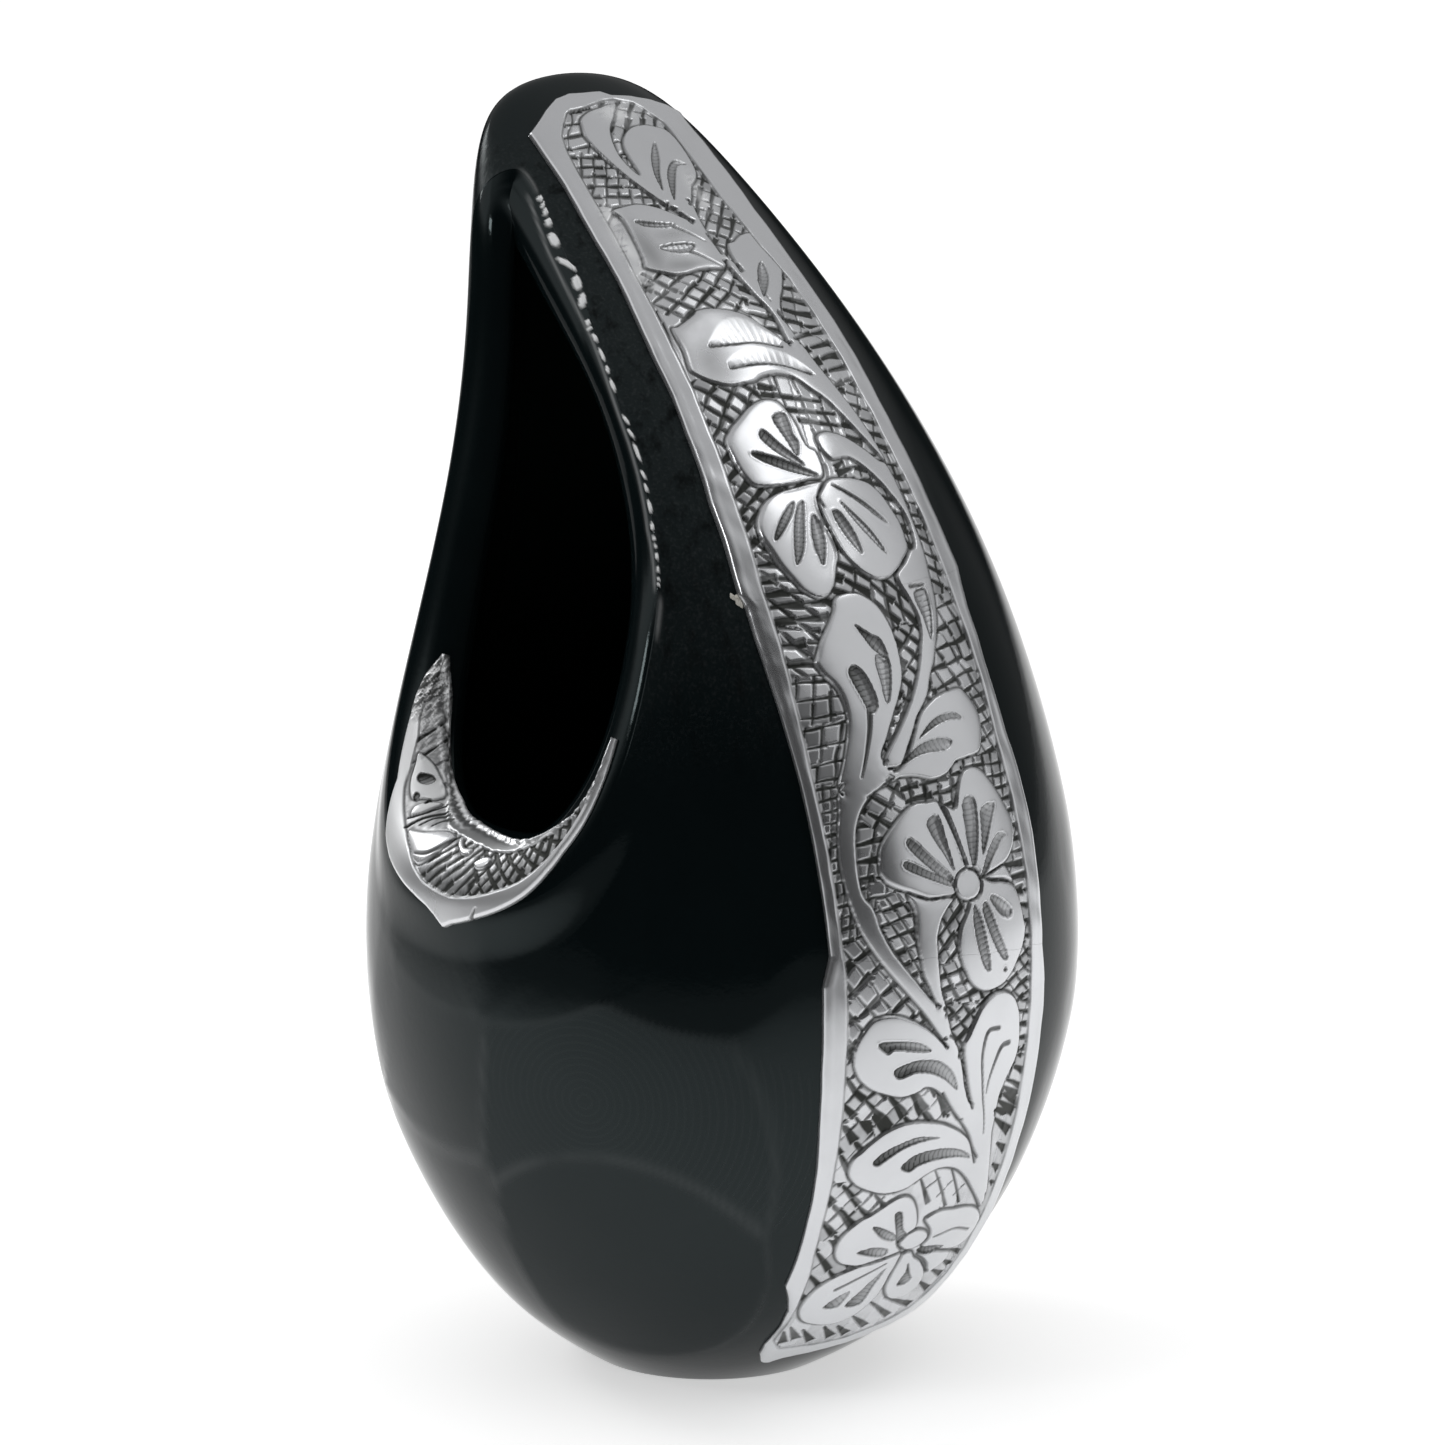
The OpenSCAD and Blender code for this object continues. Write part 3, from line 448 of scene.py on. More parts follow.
# hatching of the ground by neighbourhood:
# y, s, then angle, pitch and width of two sets of lines, then general darkness
HATCH = [
    (-15, 35, -48, 2.5, 1.0, 55, 2.3, 0.45, 0.25), (-15, 28, -50, 2.6, 1.0, 55, 5, 0.3, 0.25),
    (-9, 8, 0, 50, 0.1, 0, 50, 0.1, 0.3), (3, 10, 0, 50, 0.1, 0, 50, 0.1, 0.35), (10, 17, 0, 50, 0.1, 0, 50, 0.1, 0.35),
    (2, 38, 0, 50, 0.1, 0, 50, 0.1, 0.2), (14, 42, 0, 50, 0.1, 0, 50, 0.1, 0.3),
    (-10, 53.5, -50, 2.9, 1.5, 45, 2.6, 0.4, 0.25), (-16.5, 55, -50, 2.6, 1.0, 50, 2.2, 0.45, 0.25),
    (-15, 73, 37, 3.2, 1.1, -52, 2.5, 0.6, 0.15), (-16, 50, -52, 2.8, 1.3, 50, 4, 0.3, 0.25),
    (14.8, 62, -12, 2.0, 0.9, 70, 2.4, 0.4, 0.45), (14.5, 55, -28, 2.4, 1.2, 70, 5, 0.3, 0.4),
    (0, 72, 12, 2.1, 0.8, -64, 2.1, 0.6, 0.25), (0, 66, 30, 2, 0.8, -50, 2, 0.6, 0.35),
    (14, 72, 24, 1.9, 0.8, -48, 2, 0.5, 0.35), (15, 80, -10, 2.2, 0.9, 60, 4, 0.3, 0.5),
    (-9, 80, 12, 2.1, 0.7, -60, 1.8, 0.55, 0.2), (0, 79, 40, 2, 0.8, -60, 2, 0.5, 0.3),
    (-18.3, 88, 12, 1.7, 0.55, 78, 1.2, 0.35, 0.45), (-18.3, 98, 12, 1.7, 0.55, 78, 1.2, 0.35, 0.45),
    (-13.5, 93, 2, 2.6, 1.0, 70, 3, 0.5, 0.25), (-9.5, 99.5, -35, 2.6, 1.0, 45, 3, 0.6, 0.25),
    (-2, 101, 6, 1.9, 0.9, 80, 2.6, 0.8, 0.25), (14, 88, -4, 1.9, 0.9, 60, 5, 0.3, 0.4),
    (13.5, 101, -4, 1.8, 0.6, 78, 2, 0.5, 0.35), (13.5, 108, 10, 2, 0.8, -60, 2, 0.5, 0.4),
    (-16.5, 109, 8, 2.6, 0.5, 68, 2.4, 0.45, 0.5), (-17, 116, 6, 2.7, 0.5, 72, 2.5, 0.45, 0.5),
    (-16.5, 124, 3, 2.7, 1.3, -55, 3, 0.8, 0.2), (9, 119, 10, 2.6, 0.9, -68, 2.7, 0.65, 0.3),
    (13, 124, 8, 2.8, 0.8, -72, 2.4, 0.6, 0.35), (2.2, 122, -45, 2.4, 1.1, 38, 2.5, 0.7, 0.3),
    (2.5, 130, -50, 2.4, 1.1, 82, 2.6, 0.8, 0.3), (-15, 131, 0, 2.2, 1.2, -50, 2.8, 0.7, 0.25),
    (-5, 134, -35, 2.4, 1.3, 60, 4, 0.5, 0.4), (13.4, 135, -30, 2.2, 0.9, 80, 2.2, 0.5, 0.5),
    (13.6, 147, -18, 2.1, 0.7, 86, 1.9, 0.45, 0.5), (-15.5, 149, 40, 2, 1.0, -50, 2.4, 0.6, 0.35),
    (-13, 165, -45, 2.5, 0.9, 52, 2.6, 0.6, 0.3), (2, 163, -12, 50, 0.1, 80, 3.6, 0.4, 0.15),
    (11.5, 172, 3, 2.35, 1.15, -40, 6, 0.4, 0.2), (12.5, 160, -24, 2.2, 0.9, 60, 3, 0.4, 0.4),
    (-8, 187, 36, 2.3, 0.65, -42, 2.4, 0.7, 0.25), (11, 182, -22, 2.5, 1.2, 60, 6, 0.3, 0.25),
    (-14, 175, 85, 4, 0.4, 0, 50, 0.1, 0.1), (-12, 198, 60, 6, 0.3, 0, 50, 0.1, 0.05),
    (6.5, 201, 48, 2.2, 0.8, -35, 2.4, 0.55, 0.3), (-9.5, 212, -5, 2.2, 0.9, 64, 1.8, 0.4, 0.25),
    (-8, 222, 8, 2.6, 0.7, 60, 3, 0.3, 0.15), (4, 224, 50, 2.3, 0.8, -30, 5, 0.5, 0.15),
]

# ribbed slopes of the upper left leaf: lower line and upper line, as (y, s)
FANS = [
    ([(-9, 175.7), (-4.8, 175.7), (-1, 175.5), (2.9, 174.3)],
     [(-8.7, 176.8), (-6, 179.5), (-3.3, 180.8), (-1, 180.6), (0.6, 179.5), (2.1, 177.6), (4, 175.7)]),
    ([(-7.7, 171.4), (-4, 171.6), (-1, 171.4), (2.1, 170.6), (5.6, 168.7)],
     [(-7.7, 172.8), (-6, 173.9), (-3.3, 174.7), (-0.6, 174.7), (2.1, 173.7), (4.4, 171.8), (6.7, 168.3)]),
]

# crescent on the lip: along the rim (mm from the lowest point, + to the spine side) and across it (+ into the mouth)
LIP_OUT = [(-51.5, 8.3), (-50.5, 7.8), (-47, 6.3), (-43.3, 5.6), (-39.7, 5.5), (-34, 5.2), (-28, 4.9), (-25.4, 4),
           (-22.6, 3.1), (-18.3, 1.6), (-14, 0.9), (-9.7, 0.5), (-4, -0.2), (-0.4, -1), (1.7, -2), (3.7, -3.4),
           (5.3, -2.7), (10.3, -1.6), (14.6, -0.9), (19.6, -0.1), (24.6, 0.9), (28.9, 1.5), (34.6, 1.6), (40, 1.9),
           (49.5, 2.3)]
LIP_IN = [(-51.5, 8.9), (-50.4, 9.3), (-45.4, 10.9), (-39.7, 12.4), (-34.7, 13.8), (-30.4, 14.6), (-25, 15), (-20, 15.2),
          (-14, 15.2), (-10, 15.2), (-5, 15), (0, 14.7), (5, 13.8), (10, 12.6), (15, 11.2), (20, 9.6), (25, 7.8),
          (28, 6.6), (32, 5), (36, 4), (40, 3.5), (49.5, 3)]
LIP_LINE = [(-51, 8.6), (-46, 8.2), (-43, 7.4), (-39.7, 7.2), (-36.1, 7.6), (-29.7, 7.2), (-25.4, 6.6), (-18.3, 6.2),
            (-14, 5.8), (-9.7, 4.9), (-5.4, 3.4), (-1.9, 2.4), (1.7, 1.9), (5.3, 1.4), (10.3, 1.6), (14.6, 2),
            (19.6, 2.1), (24.6, 2.4), (28.9, 2.5), (35.3, 2.6), (49, 2.7)]
# where the plain dark hollow next to the inner edge starts
LIP_BAND = [(-52, 9.2), (-40, 11.4), (-30, 13), (-20, 13), (-14, 12.4), (-6, 11), (0, 10.8), (8, 9.4), (15, 8),
            (20, 7.2), (26, 6), (32, 4.8), (49, 3.2)]
LIP_SHAPES = [
    [(-33, 8.2), (-31, 10.4), (-28, 11.7), (-24, 12.6), (-20.5, 12.6), (-19.6, 11), (-21, 9.4), (-22, 7.6),
     (-26, 7.3), (-30, 7.8)],
    [(-20, 8.4), (-18.6, 11.4), (-17, 11.8), (-16.6, 9.4), (-17.6, 7)],
    [(-14.2, 6.2), (-10, 8.2), (-6, 10), (-2.4, 10.6), (-0.6, 9.8), (-1.6, 7.4), (-4.2, 4.4), (-6.6, 3.9), (-9.6, 5)],
    [(0.6, 10), (2, 8.6), (4.6, 7.4), (6.4, 7.8), (6.4, 9), (4.4, 8.9), (2.8, 9.6), (1.6, 10.6)],
    [(8.6, 6.6), (11, 7.6), (13, 7), (12, 5.6), (9.6, 5.4)],
]
LIP_CUTS = [
    ([(-7.6, 5.0), (-4, 6.2), (-0.9, 9)], 0.3, 1.0, 0.35, 0.8),
    ([(9.6, -1.6), (10.6, 0)], 0.7, 0.2, 0.3, 0.8),
    ([(-15.6, 6), (-14.8, 9), (-12.6, 12)], 0.8, 1.1, 0.35, 0.95),
    ([(-13.4, 8), (-12.6, 10.4), (-10.6, 12)], 0.5, 1.0, 0.35, 0.95),
    ([(-10.4, 9.4), (-9.4, 11.4), (-7.4, 12)], 0.5, 0.9, 0.35, 0.95),
    ([(-17.6, 6.6), (-16.2, 9.6), (-16.2, 12.4)], 0.5, 0.8, 0.35, 0.95),
]
LIP_POCKETS = [
    ([(-28.2, 9), (-27.6, 10.6), (-26, 11.2), (-24.9, 10.2), (-25.6, 9), (-27, 8.5)], 0.95),
    ([(-23.4, 8.4), (-22.4, 9), (-20.8, 8.6), (-21.8, 7.9)], 0.85),
    ([(-20.6, 10.2), (-19.6, 10.6), (-18.8, 9.8), (-19.8, 9.4)], 0.85),
]


def curve(points, closed=False, k=5):
    # smooth line through listed points
    p = np.array(points, float)
    n = len(p)
    if closed:
        q = np.vstack([p[-1:], p, p[:2]])
    else:
        if n < 3:
            return p
        q = np.vstack([2 * p[0] - p[1], p, 2 * p[-1] - p[-2]])
    t = (np.arange(k) / k)[:, None]
    out = []
    for i in range(len(q) - 3):
        a, b, c, d = q[i:i + 4]
        out.append(0.5 * (2 * b + (c - a) * t + (2 * a - 5 * b + 4 * c - d) * t ** 2
                          + (3 * b - a - 3 * c + d) * t ** 3))
    out = np.vstack(out)
    return out if closed else np.vstack([out, p[-1:]])


def to_line(pt, line, widths=None, flat=False, keep=None):
    # distance to a line, side of it, width there and place along it (0..1)
    q = line
    if widths is None:
        widths = np.zeros(len(q))
    best = np.full(len(pt), 1e9)
    side = np.zeros(len(pt))
    wid = np.ones(len(pt)) * 1e-3
    at = np.zeros(len(pt))
    n = len(q) - 1
    for i in range(n):
        if keep is not None and not keep[i]:
            continue
        a, b = q[i], q[i + 1]
        d = b - a
        L = d @ d + 1e-12
        t = ((pt - a) @ d) / L
        out = ((t < 0) & (i == 0)) | ((t > 1) & (i == n - 1))
        t = np.clip(t, 0, 1)
        r = pt - a - t[:, None] * d
        e = np.hypot(r[:, 0], r[:, 1])
        if flat:
            e = np.where(out, 1e6, e)
        w = widths[i] + (widths[i + 1] - widths[i]) * t
        m = e - 0.5 * w < best - 0.5 * wid
        best = np.where(m, e, best)
        side = np.where(m, (d[0] * r[:, 1] - d[1] * r[:, 0]) / np.sqrt(L), side)
        wid = np.where(m, w, wid)
        at = np.where(m, (i + t) / n, at)
    return best, side, wid, at


def inside(pt, poly):
    x, y = pt[:, 0], pt[:, 1]
    res = np.zeros(len(pt), bool)
    j = len(poly) - 1
    for i in range(len(poly)):
        xi, yi = poly[i]
        xj, yj = poly[j]
        if yi != yj:
            c = ((yi > y) != (yj > y)) & (x < (xj - xi) * (y - yi) / (yj - yi) + xi)
            res ^= c
        j = i
    return res


def wob(x, y, seed, scale):
    # soft irregular waves, about -1..1
    g = np.random.default_rng(seed)
    v = 0
    for i in range(6):
        a = g.uniform(0, 2 * np.pi)
        f = (0.6 + 0.5 * i) / scale
        v = v + np.sin((x * np.cos(a) + y * np.sin(a)) * f * 2 * np.pi + g.uniform(0, 6.28)) / (1 + 0.5 * i)
    return v / 2.6


def lerp(table, x):
    t = np.array(table, float)
    return np.interp(x, t[:, 0], t[:, 1])


def near(pt, line, pad):
    lo = line.min(0) - pad
    hi = line.max(0) + pad
    return np.nonzero(((pt > lo) & (pt < hi)).all(1))[0]


def hatch_lines(y, s, ang, pitch, width, seed):
    # set of hand-cut parallel strokes, each a row of short wedges: depth inside a cut, 0..1
    a = np.radians(ang)
    if pitch > 40:
        return np.zeros_like(y), (y * np.cos(a) + s * np.sin(a)) / 3.4
    p = (-y * np.sin(a) + s * np.cos(a)) / pitch
    q = (y * np.cos(a) + s * np.sin(a))
    p = p + 0.14 * wob(y, s, seed, 11)
    k = np.floor(p)
    r = np.abs(p - k - 0.5) * pitch
    ph = np.sin(k * 12.9898 + seed) * 43758.5453
    ph = ph - np.floor(ph)
    v = q / (4.2 + 2.5 * ph) + ph * 7
    v = v - np.floor(v)
    w = width * (0.8 + 0.4 * ph) * (0.5 + 0.75 * v) * smooth(0, 0.05, v)
    return np.clip((0.5 * w - r) / 0.2 + 0.5, 0, 1), p + 0.5


def dice(i, j, seed):
    v = np.sin(i * 127.1 + j * 311.7 + seed * 74.7) * 43758.5453
    return 2 * (v - np.floor(v)) - 1


def raised(pt, shapes, pad=2.0):
    # distance into the outline of all raised shapes together, creases kept where two of them meet
    polys = [curve(c, True, 4) for c in shapes]
    d = np.full(len(pt), 9.0)
    ins = np.zeros(len(pt), bool)
    for i, poly in enumerate(polys):
        mid = 0.5 * (poly + np.roll(poly, -1, 0))
        keep = np.ones(len(poly), bool)
        for j, other in enumerate(polys):
            if j != i:
                k = near(mid, other, 0)
                if len(k):
                    deep = to_line(mid[k], np.vstack([other, other[:1]]))[0]
                    keep[k] &= ~(inside(mid[k], other) & (deep > 0.45))
        m = near(pt, poly, pad)
        if len(m) == 0:
            continue
        ins[m] |= inside(pt[m], poly)
        if keep.any():
            e = to_line(pt[m], np.vstack([poly, poly[:1]]), keep=keep)[0]
            d[m] = np.minimum(d[m], e)
    return np.where(ins, d, -d) - 0.2


def gouge(pt, h, pat, cuts):
    for path, wa, wb, dep, dark in cuts:
        q = curve(path, False, 5)
        L = np.concatenate([[0], np.cumsum(np.hypot(*np.diff(q, axis=0).T))])
        wq = wa + (wb - wa) * L / max(L[-1], 1e-6)
        m = near(pt, q, 2.2)
        if len(m) == 0:
            continue
        e, _, w, _ = to_line(pt[m], q, wq)
        r = e / (0.5 * w + 1e-6)
        h[m] -= dep * np.clip(1 - r, 0, 1) ** 0.8
        pat[m] = np.maximum(pat[m], dark * np.clip((0.5 * w - e) / 0.16 + 0.5, 0, 1))


def pockets(pt, h, pat, shapes):
    # chisel cuts with sloping floors, straight crisp sides and a small burr along them
    for outline, dark in shapes:
        p = curve(outline, True, 3)
        c = np.array(outline, float)
        p = np.vstack([p, p[:1]])
        m = near(pt, p, 1.0)
        if len(m) == 0:
            continue
        q = pt[m]
        e = to_line(q, p)[0]
        ins = inside(q, p)
        long = c[np.argmax(np.linalg.norm(c - c.mean(0), axis=1))] - c.mean(0)
        long = long / np.linalg.norm(long)
        g = q - c.mean(0)
        u = g @ long
        v = g @ np.array([-long[1], long[0]])
        rib = 0.5 + 0.5 * np.sin(u * 7.5 + 1.2 * v)
        depth = np.where(ins, 0.12 + 0.26 * np.clip(e / 0.9, 0, 1), 0)
        h[m] += np.where(ins, -depth - 0.03 * rib, 0.05 * np.exp(-(e / 0.22) ** 2))
        edge = np.clip(np.where(ins, e, -e) / 0.14 + 0.5, 0, 1)
        if dark < 0.3:
            tone = dark + 0.35 * (rib > 0.9) + 0.75 * np.exp(-(e / 0.2) ** 2)
        else:
            # painted shade: each pocket is darker towards its smaller-y side, nearer the front of the band, on top of
            # the dark patina in the cut
            far = (q[:, 0] - p[:, 0].min()) / (np.ptp(p[:, 0]) + 1e-6)
            tone = dark * (1.2 - 0.85 * np.clip(far, 0, 1)) + 0.22 * (rib > 0.88) + 0.4 * np.exp(-(e / 0.22) ** 2)
        pat[m] = pat[m] * (1 - edge) + np.clip(tone, 0, 1) * edge


def fans(pt, h, pat):
    # steep dark step with a ribbed bright slope above it
    for low, top in FANS:
        a, b = curve(low, False, 6), curve(top, False, 6)
        poly = np.vstack([a, b[::-1]])
        m = near(pt, poly, 1.0)
        if len(m) == 0:
            continue
        q = pt[m]
        ins = inside(q, poly)
        ea, _, _, at = to_line(q, a)
        eb = to_line(q, b)[0]
        v = ea / (ea + eb + 1e-6)
        rib = np.abs(np.sin(at * 34 + 1.4 * v))
        h[m] -= np.where(ins, 0.42 * (1 - v) ** 1.3 + 0.05 * rib * (1 - v), 0)
        step = np.clip(1 - ea / 0.5, 0, 1)
        pat[m] = np.where(ins, 0.3 * (rib > 0.93) * (1 - v), pat[m])
        pat[m] = np.maximum(pat[m], 0.95 * smooth(0.1, 0.6, step))


def engrave(y, s):
    # relief (mm) and patina (0 bright .. 1 dark) of the spine band
    pt = np.stack([y, s], 1)
    n = len(pt)
    fl, fr = lerp(FIELD_L, s), lerp(FIELD_R, s)
    fb, ft = lerp(FIELD_B, y), lerp(FIELD_T, y)
    wv = 0.15 * wob(y, s, 5, 14)
    din = np.minimum(np.minimum(y - fl, fr - y), np.minimum(s - fb, ft - s)) + wv
    d = raised(pt, SHAPES)
    dome = np.where(d > 0, 0.75 * (1 - np.exp(-np.maximum(d, 0) / 0.35)) + 0.05 * np.minimum(d, 5), 0)
    ground = smooth(0.1, -0.15, d) * smooth(0.0, 0.25, din)
    h = -0.24 * ground + 0.12 * dome * smooth(0, 0.4, din)
    for y0, s0, r0, gy, gs in LEAN:
        h += (d > 0) * np.clip(d / 0.5, 0, 1) * (gy * (y - y0) + gs * (s - s0)) * np.exp(-(((y - y0) / r0) ** 2 + ((s - s0) / r0) ** 2) ** 2)
    pat = np.zeros(n)
    seeds = np.array([v[:2] for v in HATCH])
    k = np.argmin((y[:, None] - seeds[None, :, 0]) ** 2 * 1.6 + (s[:, None] - seeds[None, :, 1]) ** 2, 1)
    hat = np.zeros(n)
    base = np.zeros(n)
    tilt = np.zeros(n)
    for i, v in enumerate(HATCH):
        m = np.nonzero((k == i) & (ground > 0.02))[0]
        if len(m) == 0:
            continue
        a, pa = hatch_lines(y[m], s[m], v[2], v[3], v[4], 11 + i)
        b, pb = hatch_lines(y[m], s[m], v[5], v[6], v[7], 71 + i)
        hat[m] = np.maximum(a, 0.85 * b)
        ia, ib = np.floor(pa), np.floor(pb)
        tilt[m] = dice(ia, ib, 1.0) * (pa - ia - 0.5) + dice(ia, ib, 2.0) * (pb - ib - 0.5)
        base[m] = 0.6 * v[8] + 0.22 * dice(ia, ib, 3.0)
    # dark foot of each raised shape and of the border
    foot = np.clip(1 - np.abs(-d - 0.2) / 0.42, 0, 1)
    line = np.clip(1 - np.abs(din) / 0.32, 0, 1)
    for a, b, w0, w1 in STROKES:
        q = np.array([a, b], float)
        m = near(pt, q, 2)
        if len(m):
            e, _, w, _ = to_line(pt[m], q, np.array([w0, w1]), flat=True)
            hat[m] = np.maximum(hat[m], np.clip((0.5 * w - e) / 0.2 + 0.5, 0, 1))
    h = h + (0.26 * tilt - 0.2 * hat - 0.1 * foot) * ground
    pat = np.maximum(pat, ground * np.clip(base + 0.1 * wob(y, s, 9, 4) + 0.85 * hat, 0, 1))
    pat = np.maximum(pat, np.clip(foot * smooth(-0.3, 0.1, din) * 0.95, 0, 1))
    pat = np.maximum(pat, 0.9 * line * (0.75 + 0.25 * wob(y, s, 21, 6)))
    h = h - 0.14 * line
    gouge(pt, h, pat, CUTS)
    pockets(pt, h, pat, POCKETS)
    fans(pt, h, pat)
    # painted dark reflection on parts of the raised shapes
    for y0, s0, ry, rs, k in PAINTED_DARK_PATCHES:
        pat = np.maximum(pat, k * np.clip(d / 0.6, 0, 1) * np.exp(-((y - y0) / ry) ** 2 - ((s - s0) / rs) ** 2))
    # plain border: worn outer edge with a low raised lip
    de = np.minimum(y - lerp(EDGE_L, s), lerp(EDGE_R, s) - y)
    h = h + 0.09 * wob(y, s, 31, 9) * smooth(0.2, -0.2, din)
    h = np.maximum(h + 0.05 * np.exp(-((de - 1.1) / 0.4) ** 2), -0.5)
    return h, np.clip(pat, 0, 1)


def engrave_lip(r, x):
    # the same for the crescent on the lip: r along the rim, x across it
    pt = np.stack([r, x], 1)
    xi, line = lerp(LIP_IN, r), lerp(LIP_LINE, r)
    band = lerp(LIP_BAND, r) + 0.3 * wob(r, x, 3, 7)
    d = raised(pt, LIP_SHAPES)
    dome = np.where(d > 0, 1 - np.exp(-np.maximum(d, 0) / 0.7), 0)
    din = np.minimum(x - line, band - x)
    ground = smooth(0.1, -0.15, d) * smooth(0, 0.25, din)
    foot = np.clip(1 - np.abs(-d - 0.2) / 0.4, 0, 1) * ground
    cut = np.clip(1 - np.abs(x - line) / 0.28, 0, 1) * smooth(-30, -26, r) * smooth(30, 22, r)
    lines = lambda *how: hatch_lines(r, x, *how)[0]
    a = lines(42, 1.7, 0.75, 302) * smooth(-4, -2.5, r) * smooth(11, 9, r)
    b = np.maximum(lines(35, 1.7, 0.7, 303), lines(-52, 2.4, 0.8, 305)) * smooth(8, 10, r)
    c = lines(-40, 3.1, 0.6, 304) * smooth(-29, -32, r) * smooth(-41, -38, r)
    hat = np.maximum(np.maximum(a, b), c) * ground
    # crusty left end and ragged raised inner edge with a groove along it
    grit = wob(r, x, 11, 1.3) + 0.7 * wob(r, x, 12, 0.8)
    end = np.maximum(smooth(-38, -41, r), 0.8 * smooth(-30, -35, r) * smooth(0.2, 0.8, x - line))
    q = xi - x + 0.35 * wob(r, 0 * x, 5, 5) + 0.15 * wob(r, x, 6, 2)
    lips = np.exp(-((q - 0.6) / 0.5) ** 2) + 0.7 * np.exp(-((q - 2.5) / 0.4) ** 2) * smooth(4, -6, r) * smooth(-44, -38, r)
    gap = np.exp(-((q - 1.6) / 0.35) ** 2) * smooth(20, 10, r) * smooth(-46, -40, r)
    h = -0.22 * ground + 0.2 * dome - 0.18 * hat - 0.1 * foot - 0.14 * cut + 0.3 * lips - 0.1 * gap + 0.12 * grit * end
    plain = smooth(-0.1, 0.3, x - band) * smooth(1.2, 1.8, q) * smooth(-22, -16, r)
    pat = ground * np.clip(0.3 + 0.25 * wob(r, x, 9, 2.2) + 0.2 * smooth(-20, 0, r), 0, 1) + 0.85 * hat
    pat = np.maximum(pat, np.maximum(0.9 * foot, 0.85 * cut))
    pat = np.maximum(pat, np.maximum(0.72 * plain, 0.9 * gap))
    pat = np.maximum(pat, end * smooth(-0.35, 0.25, grit) * (0.6 + 0.3 * smooth(-40, -44, r)))
    pat = np.maximum(pat, 0.7 * smooth(0.35, 0.8, np.abs(grit)) * ground * smooth(9, 12, r))
    pat = pat * (1 - 0.85 * np.clip(lips, 0, 1) * smooth(-0.9, -0.2, wob(r, x, 14, 1.6)))
    gouge(pt, h, pat, LIP_CUTS)
    pockets(pt, h, pat, LIP_POCKETS)
    return np.maximum(h, -0.5), np.clip(pat, 0, 1)


# ---------------------------------------------------------------- meshes
def make(name, verts, groups, attrs=None, node=None, flat=()):
    # groups: list of face arrays, each with one number of corners; flat: which groups are flat shaded
    me = bpy.data.meshes.new(name)
    verts = np.asarray(verts, float) * MM
    loops = np.concatenate([np.asarray(g).ravel() for g in groups]).astype(np.int32)
    sizes = np.concatenate([np.full(len(g), np.shape(g)[1]) for g in groups]).astype(np.int32)
    smoothed = np.concatenate([np.full(len(g), i not in flat) for i, g in enumerate(groups)])
    me.vertices.add(len(verts))
    me.vertices.foreach_set("co", verts.astype(np.float32).ravel())
    me.loops.add(len(loops))
    me.loops.foreach_set("vertex_index", loops)
    me.polygons.add(len(sizes))
    me.polygons.foreach_set("loop_start", np.concatenate([[0], np.cumsum(sizes)[:-1]]).astype(np.int32))
    me.polygons.foreach_set("use_smooth", smoothed)
    me.update(calc_edges=True)
    me.validate()
    me.set_sharp_from_angle(angle=math.radians(66))
    for key, v in (attrs or {}).items():
        a = me.attributes.new(key, "FLOAT", "POINT")
        a.data.foreach_set("value", np.asarray(v, np.float32).ravel())
    ob = bpy.data.objects.new(name, me)
    bpy.context.scene.collection.objects.link(ob)
    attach(ob, "root")
    if node:
        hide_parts(node)
    return ob


def ring_quads(rows, cols):
    j = np.arange(cols)
    k = (j + 1) % cols
    i = np.arange(rows - 1)[:, None] * cols
    return np.stack([i + j, i + k, i + cols + k, i + cols + j], -1).reshape(-1, 4)


def grid_quads(rows, cols, base=0):
    i = np.arange(rows - 1)[:, None] * cols + base
    j = np.arange(cols - 1)
    return np.stack([i + j, i + j + 1, i + cols + j + 1, i + cols + j], -1).reshape(-1, 4)


